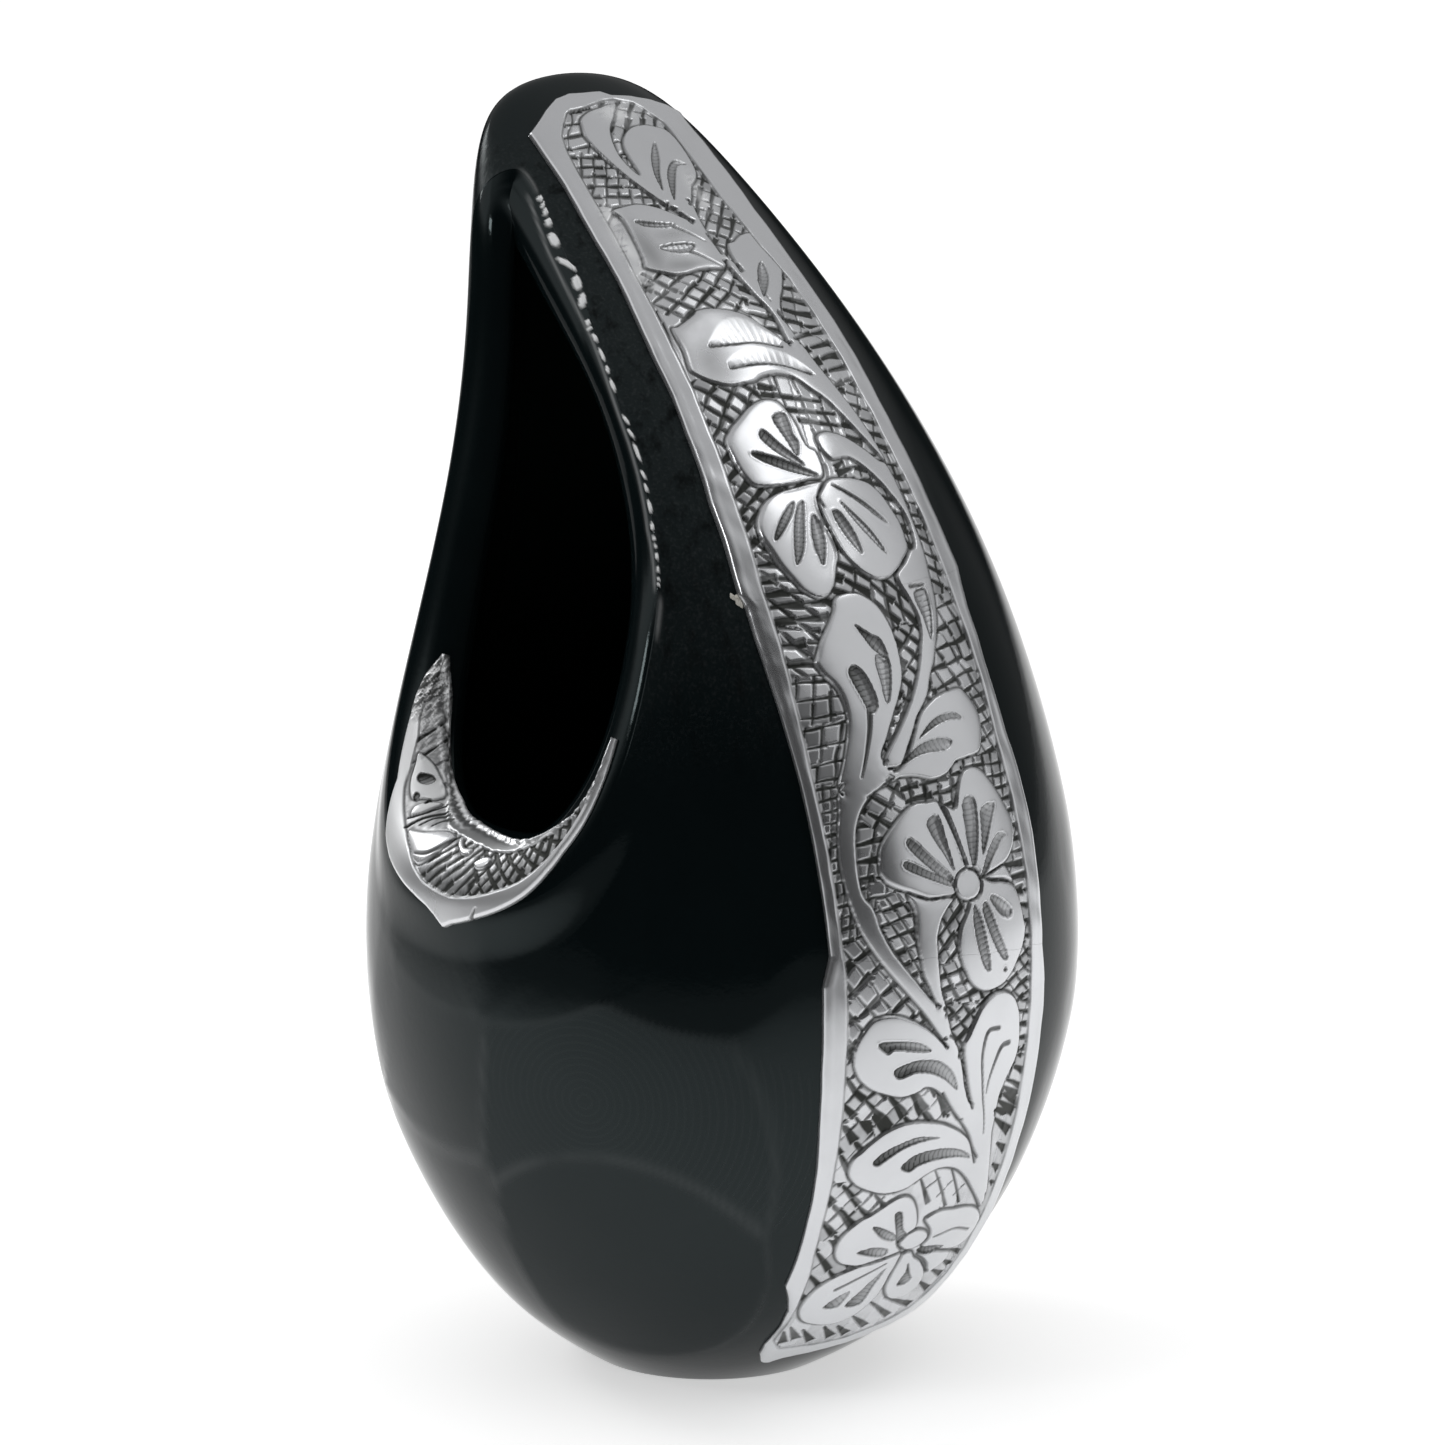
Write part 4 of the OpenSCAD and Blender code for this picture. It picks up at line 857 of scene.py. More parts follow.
def clay():
    # columns closer together along the uneven crest of the rim
    t = np.concatenate([np.linspace(0, 0.24, 68, False), np.linspace(0.24, 0.45, 182, False), np.linspace(0.45, 1, 150, False)])
    n = len(t)
    rim = Rim(t)
    up = 1 - (1 - np.linspace(0, 1, 165)) ** 1.22
    u, f = map_grid(rim, up)
    side = (np.degrees(f) + 180) % 360 - 180
    p, crest, ring = outer(u, f, 0.0, up[:, None])
    rows = [p]
    # rolled lip: over the edge, round its end and back to the inside
    e, nn, q = rim.e, rim.n, rim.p
    La, Lb = rim.roll, rim.drop
    gap = np.linalg.norm(p - q, axis=-1)
    on, bead_and_painted_glint, rise = ridge(rim.t, -gap)
    p += nn * (rise + 0.22 * bead_and_painted_glint)[..., None]
    # the same mask is kept row by row as a painted highlight on the crest
    painted_glint = [bead_and_painted_glint]
    for a in np.linspace(0, np.pi / 2, 22)[1:] ** 1.3 * (np.pi / 2) ** -0.3:
        x = La * np.sin(a)
        on, bead_and_painted_glint, rise = ridge(rim.t, x)
        k = rise + 0.22 * bead_and_painted_glint - 0.32 * on * np.minimum(x, 1.6 + 0.2 * x)
        rows.append((q + x[:, None] * e - (Lb * (1 - np.cos(a)) - k)[:, None] * nn)[None])
        painted_glint.append(bead_and_painted_glint[None])
    painted_glint = np.concatenate(painted_glint)
    th = np.minimum(4, 0.7 * La) / 2
    sink = 0.32 * on * (1.6 + 0.2 * La)
    for a in np.linspace(0, np.pi, 13)[1:]:
        rows.append((q + (La - th + th * np.cos(a))[:, None] * e - (Lb + sink + th * np.sin(a))[:, None] * nn)[None])
    e2 = rows[-1][0]
    q3 = skin(INN, rim.u, rim.f)
    ni = out_dir(INN, rim.u, rim.f)
    t2 = unit(e - (e * ni).sum(-1, keepdims=True) * ni)
    q1 = e2 + nn * 0.55 * np.maximum(((q3 - e2) * nn).sum(-1, keepdims=True), 0.2)
    q2 = q3 + t2 * 0.55 * np.maximum(((e2 - q3) * t2).sum(-1, keepdims=True), 0.3)
    for v in np.linspace(0, 1, 11)[1:]:
        rows.append(((1 - v) ** 3 * e2 + 3 * (1 - v) ** 2 * v * q1 + 3 * (1 - v) * v * v * q2 + v ** 3 * q3)[None])
    down = np.linspace(1, 0, 31)[1:]
    u2, f2 = map_grid(rim, down)
    rows.append(skin(INN, u2, f2))
    v = np.concatenate(rows)
    nr = len(v)
    matte = np.zeros((nr, n))
    strip = smooth(20, 24, -side) * smooth(112, 92, -side) * smooth(0.5, 0.72, up[:, None]) * smooth(95, 125, p[..., 2]) * smooth(193, 184, p[..., 2]) * (f < 0)
    matte[:len(up)] = strip
    painted_glint_rows = np.zeros((nr, n))
    painted_glint_rows[:len(painted_glint)] = painted_glint
    # painted highlight along the crests between facets
    painted_crest_light = np.zeros((nr, n))
    painted_crest_light[:len(up)] = crest
    # distance from the middle of the big facet, used for painted reflection rings
    painted_rings = np.zeros((nr, n))
    painted_rings[:len(up)] = ring
    deep = np.zeros((nr, n))
    deep[len(up) + 30:] = 1
    # foot and floor: two rings and a middle point each
    foot = v[0]
    floor = v[-1]
    mid = lambda ring: ring.mean(0)
    extra = np.vstack([0.5 * (foot + mid(foot)), mid(foot)[None], 0.5 * (floor + mid(floor)), mid(floor)[None]])
    flatv = v.reshape(-1, 3)
    b = len(flatv)
    j = np.arange(n)
    k = (j + 1) % n
    last = (nr - 1) * n
    quads = [ring_quads(nr, n), np.stack([j, b + j, b + k, k], -1),
             np.stack([last + j, last + k, b + n + 1 + k, b + n + 1 + j], -1)]
    tris = np.vstack([np.stack([b + j, np.full(n, b + n), b + k], -1),
                      np.stack([b + n + 1 + j, b + n + 1 + k, np.full(n, b + 2 * n + 1)], -1)])
    pad = np.zeros(len(extra))
    return make("pot_body", np.vstack([flatv, extra]), [np.vstack(quads), tris],
                {k: np.concatenate([v.ravel(), pad]) for k, v in
                 (("matte", matte), ("deep", deep), ("crest", painted_crest_light), ("painted_rings", painted_rings), ("painted_glint", painted_glint_rows))},
                "clay_body")


# raised beads along the crest of the rim, also painted near-white as painted highlights for the dashed reflection
# there: place on the rim, mm off its middle, half length, half width (mm) and lean
BEAD_BUMPS_AND_PAINTED_GLINTS = [(0.2573, 0, 0.33, 0.3, 0), (0.2599, 0, 0.31, 0.28, 0), (0.2636, 0.08, 0.51, 0.28, 0), (0.2692, 0.16, 0.61, 0.3, 0.2),
         (0.2736, 0.26, 0.43, 0.28, 0.3), (0.2772, 0.31, 0.38, 0.28, 0.3), (0.2822, 0.31, 0.72, 0.28, 0),
         (0.2907, 0.1, 1.07, 0.33, 0), (0.2986, -0.08, 0.72, 0.3, 0), (0.3047, -0.23, 0.72, 0.33, 0.15),
         (0.3145, -0.34, 1.58, 0.36, 0.08), (0.3228, -0.31, 0.82, 0.33, 0.3), (0.3291, -0.21, 0.87, 0.3, 0.3),
         (0.3455, 0.1, 1.23, 0.28, 0.05), (0.3531, 0.13, 0.61, 0.3, 0), (0.3605, 0.26, 1.28, 0.28, 0.1),
         (0.3688, 0.44, 0.82, 0.33, 0.25), (0.374, 0.7, 0.41, 0.44, 0), (0.3767, 0.68, 0.41, 0.4, 0),
         (0.3866, 0.29, 1.07, 0.72, -0.3), (0.3945, 0.03, 1.28, 0.83, 0), (0.4039, 0.31, 2.0, 0.5, 0.55),
         (0.4168, 0.7, 1.48, 0.67, 0.1), (0.4256, 0.36, 0.87, 0.62, 0), (0.4312, 0.1, 0.77, 0.57, -0.2),
         (0.4355, -0.05, 0.66, 0.57, -0.3), (0.4398, -0.13, 0.87, 0.62, 0.3)]
# painted highlight beside them, a fine pale line: place on the rim and mm off its middle
PAINTED_PALE_LINE = [(0.2558, 0.57), (0.2688, 0.83), (0.2817, 1.09), (0.2939, 0.83), (0.3047, 0.57), (0.3191, 0.44), (0.3334, 0.57),
        (0.355, 0.73), (0.3694, 0.91), (0.3838, 1.43), (0.3981, 1.82), (0.4125, 2.08), (0.4269, 1.82), (0.4413, 1.43)]


def ridge(t, x):
    # crest along the spine side of the rim and its beads, at place t of the rim and x mm off its middle; the beads, a
    # pale line and two soft streaks also come back as a painted highlight mask
    on = smooth(0.23, 0.27, t) * smooth(0.56, 0.47, t)
    bead = np.zeros(np.broadcast(t, x).shape)
    for t0, x0, long, wide, lean in BEAD_BUMPS_AND_PAINTED_GLINTS:
        d = (t - t0) * 355.6
        bead = np.maximum(bead, 1 - (np.abs(d / long) ** 2.5 + np.abs((x - x0 - lean * d) / wide) ** 2.5) ** 0.4)
    # painted highlight: fine pale line beside the beads and soft pale streaks at both ends of the crest
    edge = 0.2 * np.exp(-((x - lerp(PAINTED_PALE_LINE, t)) / 0.2) ** 2) * smooth(0.252, 0.258, t) * smooth(0.452, 0.443, t)
    painted_crest_streak = 0.12 * np.exp(-((x + 0.2) / 0.45) ** 2) * smooth(0.442, 0.447, t) * smooth(0.49, 0.46, t)
    painted_crest_streak = painted_crest_streak + 0.14 * np.exp(-((x + 0.5) / 0.4) ** 2) * smooth(0.232, 0.24, t) * smooth(0.255, 0.249, t)
    return on, np.maximum(smooth(0.0, 0.3, bead), edge + painted_crest_streak), on * 0.08 * np.exp(-(x / 0.5) ** 2)


def plate(name, top, low, attrs, node):
    # closed sheet from a fine top grid and a coarse underside with the same rows
    nv, nw = top.shape[:2]
    nc = low.shape[1]
    b = nv * nw
    verts = np.vstack([top.reshape(-1, 3), low.reshape(-1, 3)])
    i = np.arange(nv - 1)
    left = np.stack([i * nw, (i + 1) * nw, b + (i + 1) * nc, b + i * nc], -1)
    right = np.stack([(i + 1) * nw + nw - 1, i * nw + nw - 1, b + i * nc + nc - 1, b + (i + 1) * nc + nc - 1], -1)
    first = np.concatenate([np.arange(nw)[::-1], b + np.arange(nc)])[None]
    last = np.concatenate([(nv - 1) * nw + np.arange(nw), (b + (nv - 1) * nc + np.arange(nc))[::-1]])[None]
    under = grid_quads(nv, nc, b)[:, ::-1]
    full = {k: np.concatenate([v.ravel(), np.full(nv * nc, d)]) for k, (v, d) in attrs.items()}
    return make(name, verts, [grid_quads(nv, nw), under, left, right, first, last], full,
                node, flat=(1, 2, 3, 4, 5))


RUB = 0.16
# whitish crust left in the corners of the band: middle and half sizes across and along (mm)
CRUST = [(1.5, 225, 3, 2), (-11.7, 203, 1.3, 3), (-12.2, 196.5, 1.4, 4.5), (-12.6, 190, 1.4, 3), (6.5, 206, 1.5, 4)]


def spine_sheet(name, node, s0, s1, step):
    w = np.linspace(0, 1, int(40 / step) + 1)
    y0 = lerp(EDGE_L, s0(0.0)) + (lerp(EDGE_R, s0(0.0)) - lerp(EDGE_L, s0(0.0))) * w
    y1 = lerp(EDGE_L, s1(0.0)) + (lerp(EDGE_R, s1(0.0)) - lerp(EDGE_L, s1(0.0))) * w
    a, b = s0(y0), s1(y1)
    v = np.linspace(0, 1, int((b.max() - a.min()) / step) + 1)[:, None]

    def place(w, a, b, lift, h=0.0):
        s = a + (b - a) * v
        y = lerp(EDGE_L, s) + (lerp(EDGE_R, s) - lerp(EDGE_L, s)) * w
        u = row_of_s(s)
        f = np.arcsin(np.clip(y / rows_at(OUT, u)[..., 3], -0.99, 0.99))
        n = out_dir(OUT, u, f)
        return s, y, skin(OUT, u, f) + n * (lift + h)[..., None]

    s, y, _ = place(w, a, b, np.array(1.05))
    h, pat = engrave(y.ravel(), s.ravel())
    h, pat = h.reshape(s.shape), pat.reshape(s.shape)
    # edges rubbed down on to the clay, ends only a little worn
    de = np.minimum(y - lerp(EDGE_L, s), lerp(EDGE_R, s) - y)
    if a.min() < 20:
        de = np.minimum(de, s - a)
    if b.max() > 200:
        de = np.minimum(de, b - s)
    h = np.maximum(h, -0.5)
    bent = 0.8 + 2.0 * smooth(113, 119, s) * smooth(133, 130, s) * (y < 0) * (0.7 + 0.3 * wob(y, s, 41, 8))
    lift = RUB + (1.05 - RUB + h) * np.sqrt(np.clip(1 - (1 - np.clip(de / bent, 0, 1)) ** 2, 0, 1))
    _, _, top = place(w, a, b, lift)
    wc = np.array([0, 0.03, 0.06, 0.25, 0.5, 0.75, 0.94, 0.97, 1])
    sc = np.interp(wc, w, a) + (np.interp(wc, w, b) - np.interp(wc, w, a)) * v
    dc = np.broadcast_to(np.minimum(wc, 1 - wc) * 38, sc.shape)
    if a.min() < 20:
        dc = np.minimum(dc, sc - np.interp(wc, w, a))
    if b.max() > 200:
        dc = np.minimum(dc, np.interp(wc, w, b) - sc)
    _, _, low = place(wc, np.interp(wc, w, a), np.interp(wc, w, b), 0.06 + 0.4 * smooth(0.2, 2.2, dc))
    crust = np.zeros_like(s)
    for y0, s0, ry, rs in CRUST:
        crust = np.maximum(crust, np.exp(-((y - y0) / ry) ** 2 - ((s - s0) / rs) ** 2))
    crust = crust * smooth(-0.9, 0.0, wob(y, s, 51, 1.6))
    sheet = plate(name, top, low, {"patina": (pat * (1 - 0.6 * crust), 0.3), "crust": (crust, 0.0)}, node)
    # cement under it, kept back from the edges
    wb = np.linspace(0.065, 0.935, 25)
    ab = np.interp(wb, w, a) + (2.6 if a.min() < 20 else 0.3)
    bb = np.interp(wb, w, b) - (2.6 if b.max() > 200 else 0.3)
    v = np.linspace(0, 1, 90)[:, None]
    top = place(wb, ab, bb, np.full((90, 25), 0.44))[2]
    low = place(wb, ab, bb, np.full((90, 25), 0.02))[2]
    bed = plate(name.replace("engraved", "cement"), top, low, {}, node.replace("sheet", "bed"))
    return sheet, bed


def lip_sheet():
    rim = Rim(np.arange(1440) / 1440)
    d = np.linalg.norm(rim.p - np.roll(rim.p, 1, 0), axis=1)
    arc = np.cumsum(d) - d[0]
    total = arc[-1] + d[0]
    k = np.arange(-360, 361)
    rr = np.where(k < 0, arc[k % 1440] - total, arc[k % 1440])
    r = np.linspace(-51, 48.5, 498)
    tab = lambda g: np.stack([np.interp(r, rr, g[k % 1440, c]) for c in range(3)], -1)
    P, N, E = tab(rim.p), unit(tab(rim.n)), unit(tab(rim.e))
    La, Lb = np.interp(r, rr, rim.roll[k % 1440]), np.interp(r, rr, rim.drop[k % 1440])
    ang = np.linspace(0, np.pi / 2, 91)
    c = np.stack([La[:, None] * np.sin(ang), -Lb[:, None] * (1 - np.cos(ang))], -1)
    run = np.concatenate([np.zeros((len(r), 1)), np.cumsum(np.linalg.norm(np.diff(c, axis=1), axis=-1), 1)], 1)

    def place(x, lift):
        a = np.stack([np.interp(x[i], run[i], ang) for i in range(len(r))])
        sa, ca = np.sin(a), np.cos(a)
        neg = np.minimum(x, 0)
        pe = La[:, None] * sa + neg
        pn = -Lb[:, None] * (1 - ca) - neg ** 2 / 90
        ne = Lb[:, None] * sa + La[:, None] * 2 * neg / 90
        nn = La[:, None] * ca
        m = np.hypot(ne, nn)
        pe = pe + lift * ne / m
        pn = pn + lift * nn / m
        return P[:, None] + pe[..., None] * E[:, None] + pn[..., None] * N[:, None]

    xo, xi = lerp(LIP_OUT, r)[:, None], lerp(LIP_IN, r)[:, None]
    xi = np.minimum(xi, 0.985 * run[:, -1:])
    x = xo + (xi - xo) * np.linspace(0, 1, 91)
    R = np.broadcast_to(r[:, None], x.shape)
    h, pat = engrave_lip(R.ravel(), x.ravel())
    h, pat = h.reshape(x.shape), pat.reshape(x.shape)
    de = np.minimum(x - xo, xi - x)
    lift = RUB + (1.05 - RUB + h) * np.sqrt(np.clip(1 - (1 - np.clip(de / 0.7, 0, 1)) ** 2, 0, 1))
    top = place(x, lift)
    wc = np.array([0, 0.08, 0.16, 0.5, 0.84, 0.92, 1])
    dc = np.minimum(wc, 1 - wc) * (xi - xo)
    low = place(xo + (xi - xo) * wc, 0.06 + 0.4 * smooth(0.15, 1.8, dc))
    crust = 0.35 + 0.65 * smooth(-4, -16, R)
    sheet = plate("lip_crescent", top[::-1], low[::-1], {"patina": (pat[::-1], 0.3), "crust": (crust[::-1], 0.3)}, "lip_sheet")
    w = np.linspace(0.2, 0.8, 15)
    part = slice(450, 52, -4)
    top = place(xo + (xi - xo) * w, np.minimum(0.42, 0.04 + 0.4 * smooth(0.15, 1.8, np.minimum(w, 1 - w) * (xi - xo))))[part]
    low = place(xo + (xi - xo) * w, np.full((len(r), 15), 0.02))[part]
    return sheet, plate("lip_cement", top, low, {}, "lip_bed")


# ---------------------------------------------------------------- materials
AZ, EL = math.radians(52), math.radians(12)
BACK = Vector((math.sin(AZ) * math.cos(EL), -math.cos(AZ) * math.cos(EL), math.sin(EL)))
SIDE = Vector((math.cos(AZ), math.sin(AZ), 0))
FRONT = Vector((math.sin(AZ), -math.cos(AZ), 0))
AIM = Vector((0, 0, 0.098))


class Mat:
    def __init__(self, name):
        self.m = bpy.data.materials.new(name)
        self.m.use_nodes = True
        self.t = self.m.node_tree
        self.b = self.t.nodes["Principled BSDF"]

    def node(self, kind, **kw):
        n = self.t.nodes.new(kind)
        for k, v in kw.items():
            setattr(n, k, v)
        return n

    def put(self, socket, v):
        if isinstance(v, bpy.types.NodeSocket):
            self.t.links.new(v, socket)
        elif v is not None:
            socket.default_value = v

    def coords(self):
        return self.node("ShaderNodeTexCoord").outputs["Object"]

    def scaled(self, v, s):
        n = self.node("ShaderNodeMapping")
        self.put(n.inputs["Vector"], v)
        n.inputs["Scale"].default_value = s
        return n.outputs["Vector"]

    def noise(self, v, scale, detail=4.0, rough=0.55, distortion=0.0):
        n = self.node("ShaderNodeTexNoise")
        self.put(n.inputs["Vector"], v)
        n.inputs["Scale"].default_value = scale
        n.inputs["Detail"].default_value = detail
        n.inputs["Roughness"].default_value = rough
        n.inputs["Distortion"].default_value = distortion
        return n.outputs["Fac"]

    def attr(self, name):
        return self.node("ShaderNodeAttribute", attribute_name=name).outputs["Fac"]

    def math(self, op, a, b=0.0, c=None, clamp=False):
        n = self.node("ShaderNodeMath", operation=op, use_clamp=clamp)
        self.put(n.inputs[0], a)
        self.put(n.inputs[1], b)
        if c is not None:
            self.put(n.inputs[2], c)
        return n.outputs[0]

    def span(self, v, a, b, lo, hi):
        n = self.node("ShaderNodeMapRange", clamp=True)
        self.put(n.inputs["Value"], v)
        for k, x in (("From Min", a), ("From Max", b), ("To Min", lo), ("To Max", hi)):
            self.put(n.inputs[k], x)
        return n.outputs["Result"]

    def mix(self, f, a, b):
        n = self.node("ShaderNodeMix", data_type="RGBA")
        self.put(n.inputs[0], f)
        self.put(n.inputs[6], a)
        self.put(n.inputs[7], b)
        return n.outputs[2]

    def bump(self, height, strength, dist, normal=None):
        n = self.node("ShaderNodeBump")
        n.inputs["Strength"].default_value = strength
        n.inputs["Distance"].default_value = dist
        self.put(n.inputs["Height"], height)
        if normal is not None:
            self.put(n.inputs["Normal"], normal)
        return n.outputs["Normal"]

    def set(self, **kw):
        for k, v in kw.items():
            self.put(self.b.inputs[k.replace("_", " ")], v)


def clay_material():
    m = Mat("black_clay")
    v = m.coords()
    smudge = m.noise(v, 38, 5, 0.6, 0.4)
    fine = m.noise(v, 900, 3, 0.6)
    streak = m.noise(m.scaled(v, (1, 1, 0.12)), 420, 3, 0.6)
    matte = m.attr("matte")
    deep = m.attr("deep")
    scr = m.span(streak, 0.52, 0.7, 0, 1)
    rough = m.span(smudge, 0.3, 0.75, 0.06, 0.15)
    rough = m.math("MULTIPLY_ADD", matte, 0.3, rough)
    rough = m.math("MULTIPLY_ADD", deep, 0.1, rough)
    rough = m.math("MULTIPLY_ADD", m.math("MULTIPLY", scr, matte), 0.15, rough, True)
    base = m.mix(smudge, (0.0020, 0.0040, 0.0045, 1), (0.0040, 0.0070, 0.0078, 1))
    base = m.mix(deep, base, (0.012, 0.018, 0.016, 1))
    # crests between facets painted a little greyer, a painted highlight for the change of reflection along them, and
    # faint painted reflection rings round the middle of the big facet
    crest = m.math("MULTIPLY", m.attr("crest"), m.span(smudge, 0.35, 0.65, 0.25, 0.7))
    base = m.mix(crest, base, (0.040, 0.043, 0.044, 1))
    # painted reflection: faint lighter rings round the middle of the big facet
    far = m.attr("painted_rings")
    painted_rings = m.math("SINE", m.math("MULTIPLY_ADD", far, 5.2, m.math("MULTIPLY", smudge, 3.0)))
    painted_rings = m.math("MULTIPLY", m.span(painted_rings, 0.2, 1.0, 0.0, 0.2), m.span(far, 0.0, 1.0, 0.0, 1.0))
    base = m.mix(painted_rings, base, (0.02, 0.023, 0.024, 1))
    speck = m.math("MULTIPLY", m.span(m.noise(v, 1900, 2, 0.5), 0.5, 0.75, 0.0, 0.3), matte)
    base = m.mix(speck, base, (0.04, 0.042, 0.044, 1))
    base = m.mix(m.math("MULTIPLY", m.math("MULTIPLY", scr, matte), 0.7), base, (0.001, 0.001, 0.001, 1))
    # painted highlight: near-white on the crest beads and the pale line beside them
    painted_glint = m.attr("painted_glint")
    base = m.mix(painted_glint, base, (0.93, 0.94, 0.95, 1))
    rough = m.math("MULTIPLY_ADD", painted_glint, 0.1, rough, True)
    n = m.bump(m.noise(v, 26, 2, 0.5), 0.15, 0.0012)
    n = m.bump(fine, 0.06, 0.0002, n)
    n = m.bump(m.math("MULTIPLY", streak, matte), 0.5, 0.0004, n)
    face = m.node("ShaderNodeLayerWeight")
    level = m.span(face.outputs["Facing"], 0.2, 0.72, 0.48, 0.14)
    level = m.math("MULTIPLY", level, m.math("SUBTRACT", 1.0, m.math("MULTIPLY", matte, m.math("MULTIPLY_ADD", scr, 0.5, 0.12))))
    m.set(Base_Color=base, Roughness=rough, Normal=n, IOR=1.36, Specular_IOR_Level=level,
          Specular_Tint=(0.82, 0.98, 1.0, 1))
    return m.m


def metal_material():
    m = Mat("engraved_metal")
    v = m.coords()
    pat = m.attr("patina")
    grain = m.noise(m.scaled(v, (1, 1, 0.3)), 1500, 3, 0.65)
    cloud = m.noise(v, 70, 4, 0.55)
    dark = m.math("MULTIPLY_ADD", m.math("SUBTRACT", cloud, 0.5), 0.25, pat, True)
    crust = m.math("MULTIPLY", m.attr("crust"), m.math("SUBTRACT", 1.0, pat, clamp=True))
    plain = m.mix(crust, (0.66, 0.67, 0.69, 1), (0.86, 0.87, 0.88, 1))
    col = m.mix(dark, plain, (0.024, 0.026, 0.023, 1))
    rough = m.span(cloud, 0.3, 0.7, 0.17, 0.26)
    rough = m.math("MULTIPLY_ADD", pat, 0.25, rough)
    rough = m.math("MULTIPLY_ADD", crust, 0.15, rough)
    rough = m.math("MULTIPLY_ADD", m.math("SUBTRACT", grain, 0.5), 0.012, rough, True)
    metal = m.math("MULTIPLY_ADD", crust, -0.5, m.span(pat, 0.3, 1.0, 0.86, 0.5))
    n = m.bump(m.noise(v, 140, 2, 0.4), 0.16, 0.0004)
    m.set(Base_Color=col, Roughness=rough, Metallic=metal, Normal=n)
    return m.m


def cement_material():
    m = Mat("adhesive")
    v = m.coords()
    a = m.noise(v, 400, 4, 0.6)
    m.set(Base_Color=m.mix(a, (0.56, 0.54, 0.48, 1), (0.78, 0.76, 0.70, 1)), Roughness=m.span(a, 0.3, 0.7, 0.6, 0.8),
          Normal=m.bump(a, 0.4, 0.0004))
    return m.m


def floor_material():
    # pale paper, fading to grey well outside the picture
    m = Mat("floor_white")
    v = m.coords()
    a = m.noise(v, 3, 3, 0.5)

    def run(axis, far):
        n = m.node("ShaderNodeVectorMath", operation="DOT_PRODUCT")
        m.put(n.inputs[0], v)
        n.inputs[1].default_value = axis
        return m.math("DIVIDE", n.outputs["Value"], far)

    front = m.math("SUBTRACT", run(FRONT, 0.38), 0.16, clamp=True)
    back = m.math("SUBTRACT", run(-FRONT, 3.0), 1.4, clamp=True)
    side = m.math("SUBTRACT", m.math("ABSOLUTE", run(SIDE, 0.7)), 0.9, clamp=True)
    # the paper ends sooner on the left, further out the further back it goes
    left = m.math("SUBTRACT", run(-SIDE, 1.0), m.math("MULTIPLY_ADD", m.math("MAXIMUM", run(-FRONT, 1.0), 0.0), 0.16, 0.3))
    left = m.math("DIVIDE", left, 0.4, clamp=True)
    pale = m.span(m.math("MAXIMUM", back, m.math("MAXIMUM", side, left)), 0.0, 1.0, 1.0, 0.3)
    pale = m.math("MULTIPLY", pale, m.span(front, 0.0, 1.0, 1.0, 0.12))
    col = m.mix(pale, (0.10, 0.10, 0.10, 1), m.mix(a, (0.79, 0.79, 0.79, 1), (0.82, 0.82, 0.82, 1)))
    m.set(Base_Color=col, Roughness=0.6)
    m.b.inputs["Emission Color"].default_value = (1, 1, 1, 1)
    m.put(m.b.inputs["Emission Strength"], m.math("MULTIPLY", pale, 0.57))
    return m.m


def give(ob, mat):
    ob.data.materials.clear()
    ob.data.materials.append(mat)


CLAY, METAL, CEMENT = clay_material(), metal_material(), cement_material()
body = clay()
give(body, CLAY)
BOTTOM = [(-12, -0.5), (-9.8, 0.8), (-6, 1.6), (-1, 2.6), (3, 3.6), (6, 4.6), (10, 6)]
TOP = [(-14.8, 221.8), (-12.7, 224.1), (-9.8, 227.2), (-7.1, 229.5), (-4.4, 230.5), (1.3, 230.5), (2.9, 229.5),
       (6.7, 228.9), (10.2, 227.6), (12.9, 226), (15, 223.7)]
low_joint = lambda y: 76.2 - 0.08 * np.asarray(y) + 0.12 * np.sin(np.asarray(y) * 0.9)
high_joint = lambda y: 132.2 + 0.008 * np.asarray(y) + 0.15 * np.sin(np.asarray(y) * 0.7 + 1)
STEP = 0.2
sheets = [
    spine_sheet("spine_engraved_lower", "spine_sheet_lower", lambda y: lerp(BOTTOM, y), lambda y: low_joint(y) - 0.012, STEP),
    spine_sheet("spine_engraved_middle", "spine_sheet_middle", lambda y: low_joint(y) + 0.012, lambda y: high_joint(y) - 0.012, STEP),
    spine_sheet("spine_engraved_upper", "spine_sheet_upper", lambda y: high_joint(y) + 0.012, lambda y: lerp(TOP, y), max(STEP, 0.21)),
    lip_sheet(),
]
for sheet, bed in sheets:
    give(sheet, METAL)
    give(bed, CEMENT)


def crumb():
    # a little cement squeezed out beside the upper joint
    th, la = np.meshgrid(np.linspace(0, 2 * np.pi, 40, False), np.linspace(0, np.pi / 2, 12)[:-1])
    reach = 1 + 0.25 * np.sin(3 * th + 0.7) + 0.12 * np.sin(7 * th)
    y = -21.7 + 0.8 * reach * np.cos(la) * np.cos(th) - 0.25 * np.sin(th)
    z = 132.6 + 1.15 * reach * np.cos(la) * np.sin(th)
    u = row_of_s(z)
    f = np.arcsin(np.clip(y / rows_at(OUT, u)[..., 3], -0.99, 0.99))
    lift = -0.25 + (0.65 + 0.12 * np.sin(5 * th + 3 * la)) * np.sin(la)
    pts = skin(OUT, u, f) + out_dir(OUT, u, f) * lift[..., None]
    n = 40
    j = np.arange(n)
    k = (j + 1) % n
    verts = np.vstack([pts.reshape(-1, 3), pts[-1].mean(0)[None], pts[0].mean(0)[None]])
    b = pts.shape[0] * n
    cap = np.stack([(pts.shape[0] - 1) * n + j, (pts.shape[0] - 1) * n + k, np.full(n, b)], -1)
    low = np.stack([k, j, np.full(n, b + 1)], -1)
    return make("cement_crumb", verts, [ring_quads(pts.shape[0], n), np.vstack([cap, low])], None)


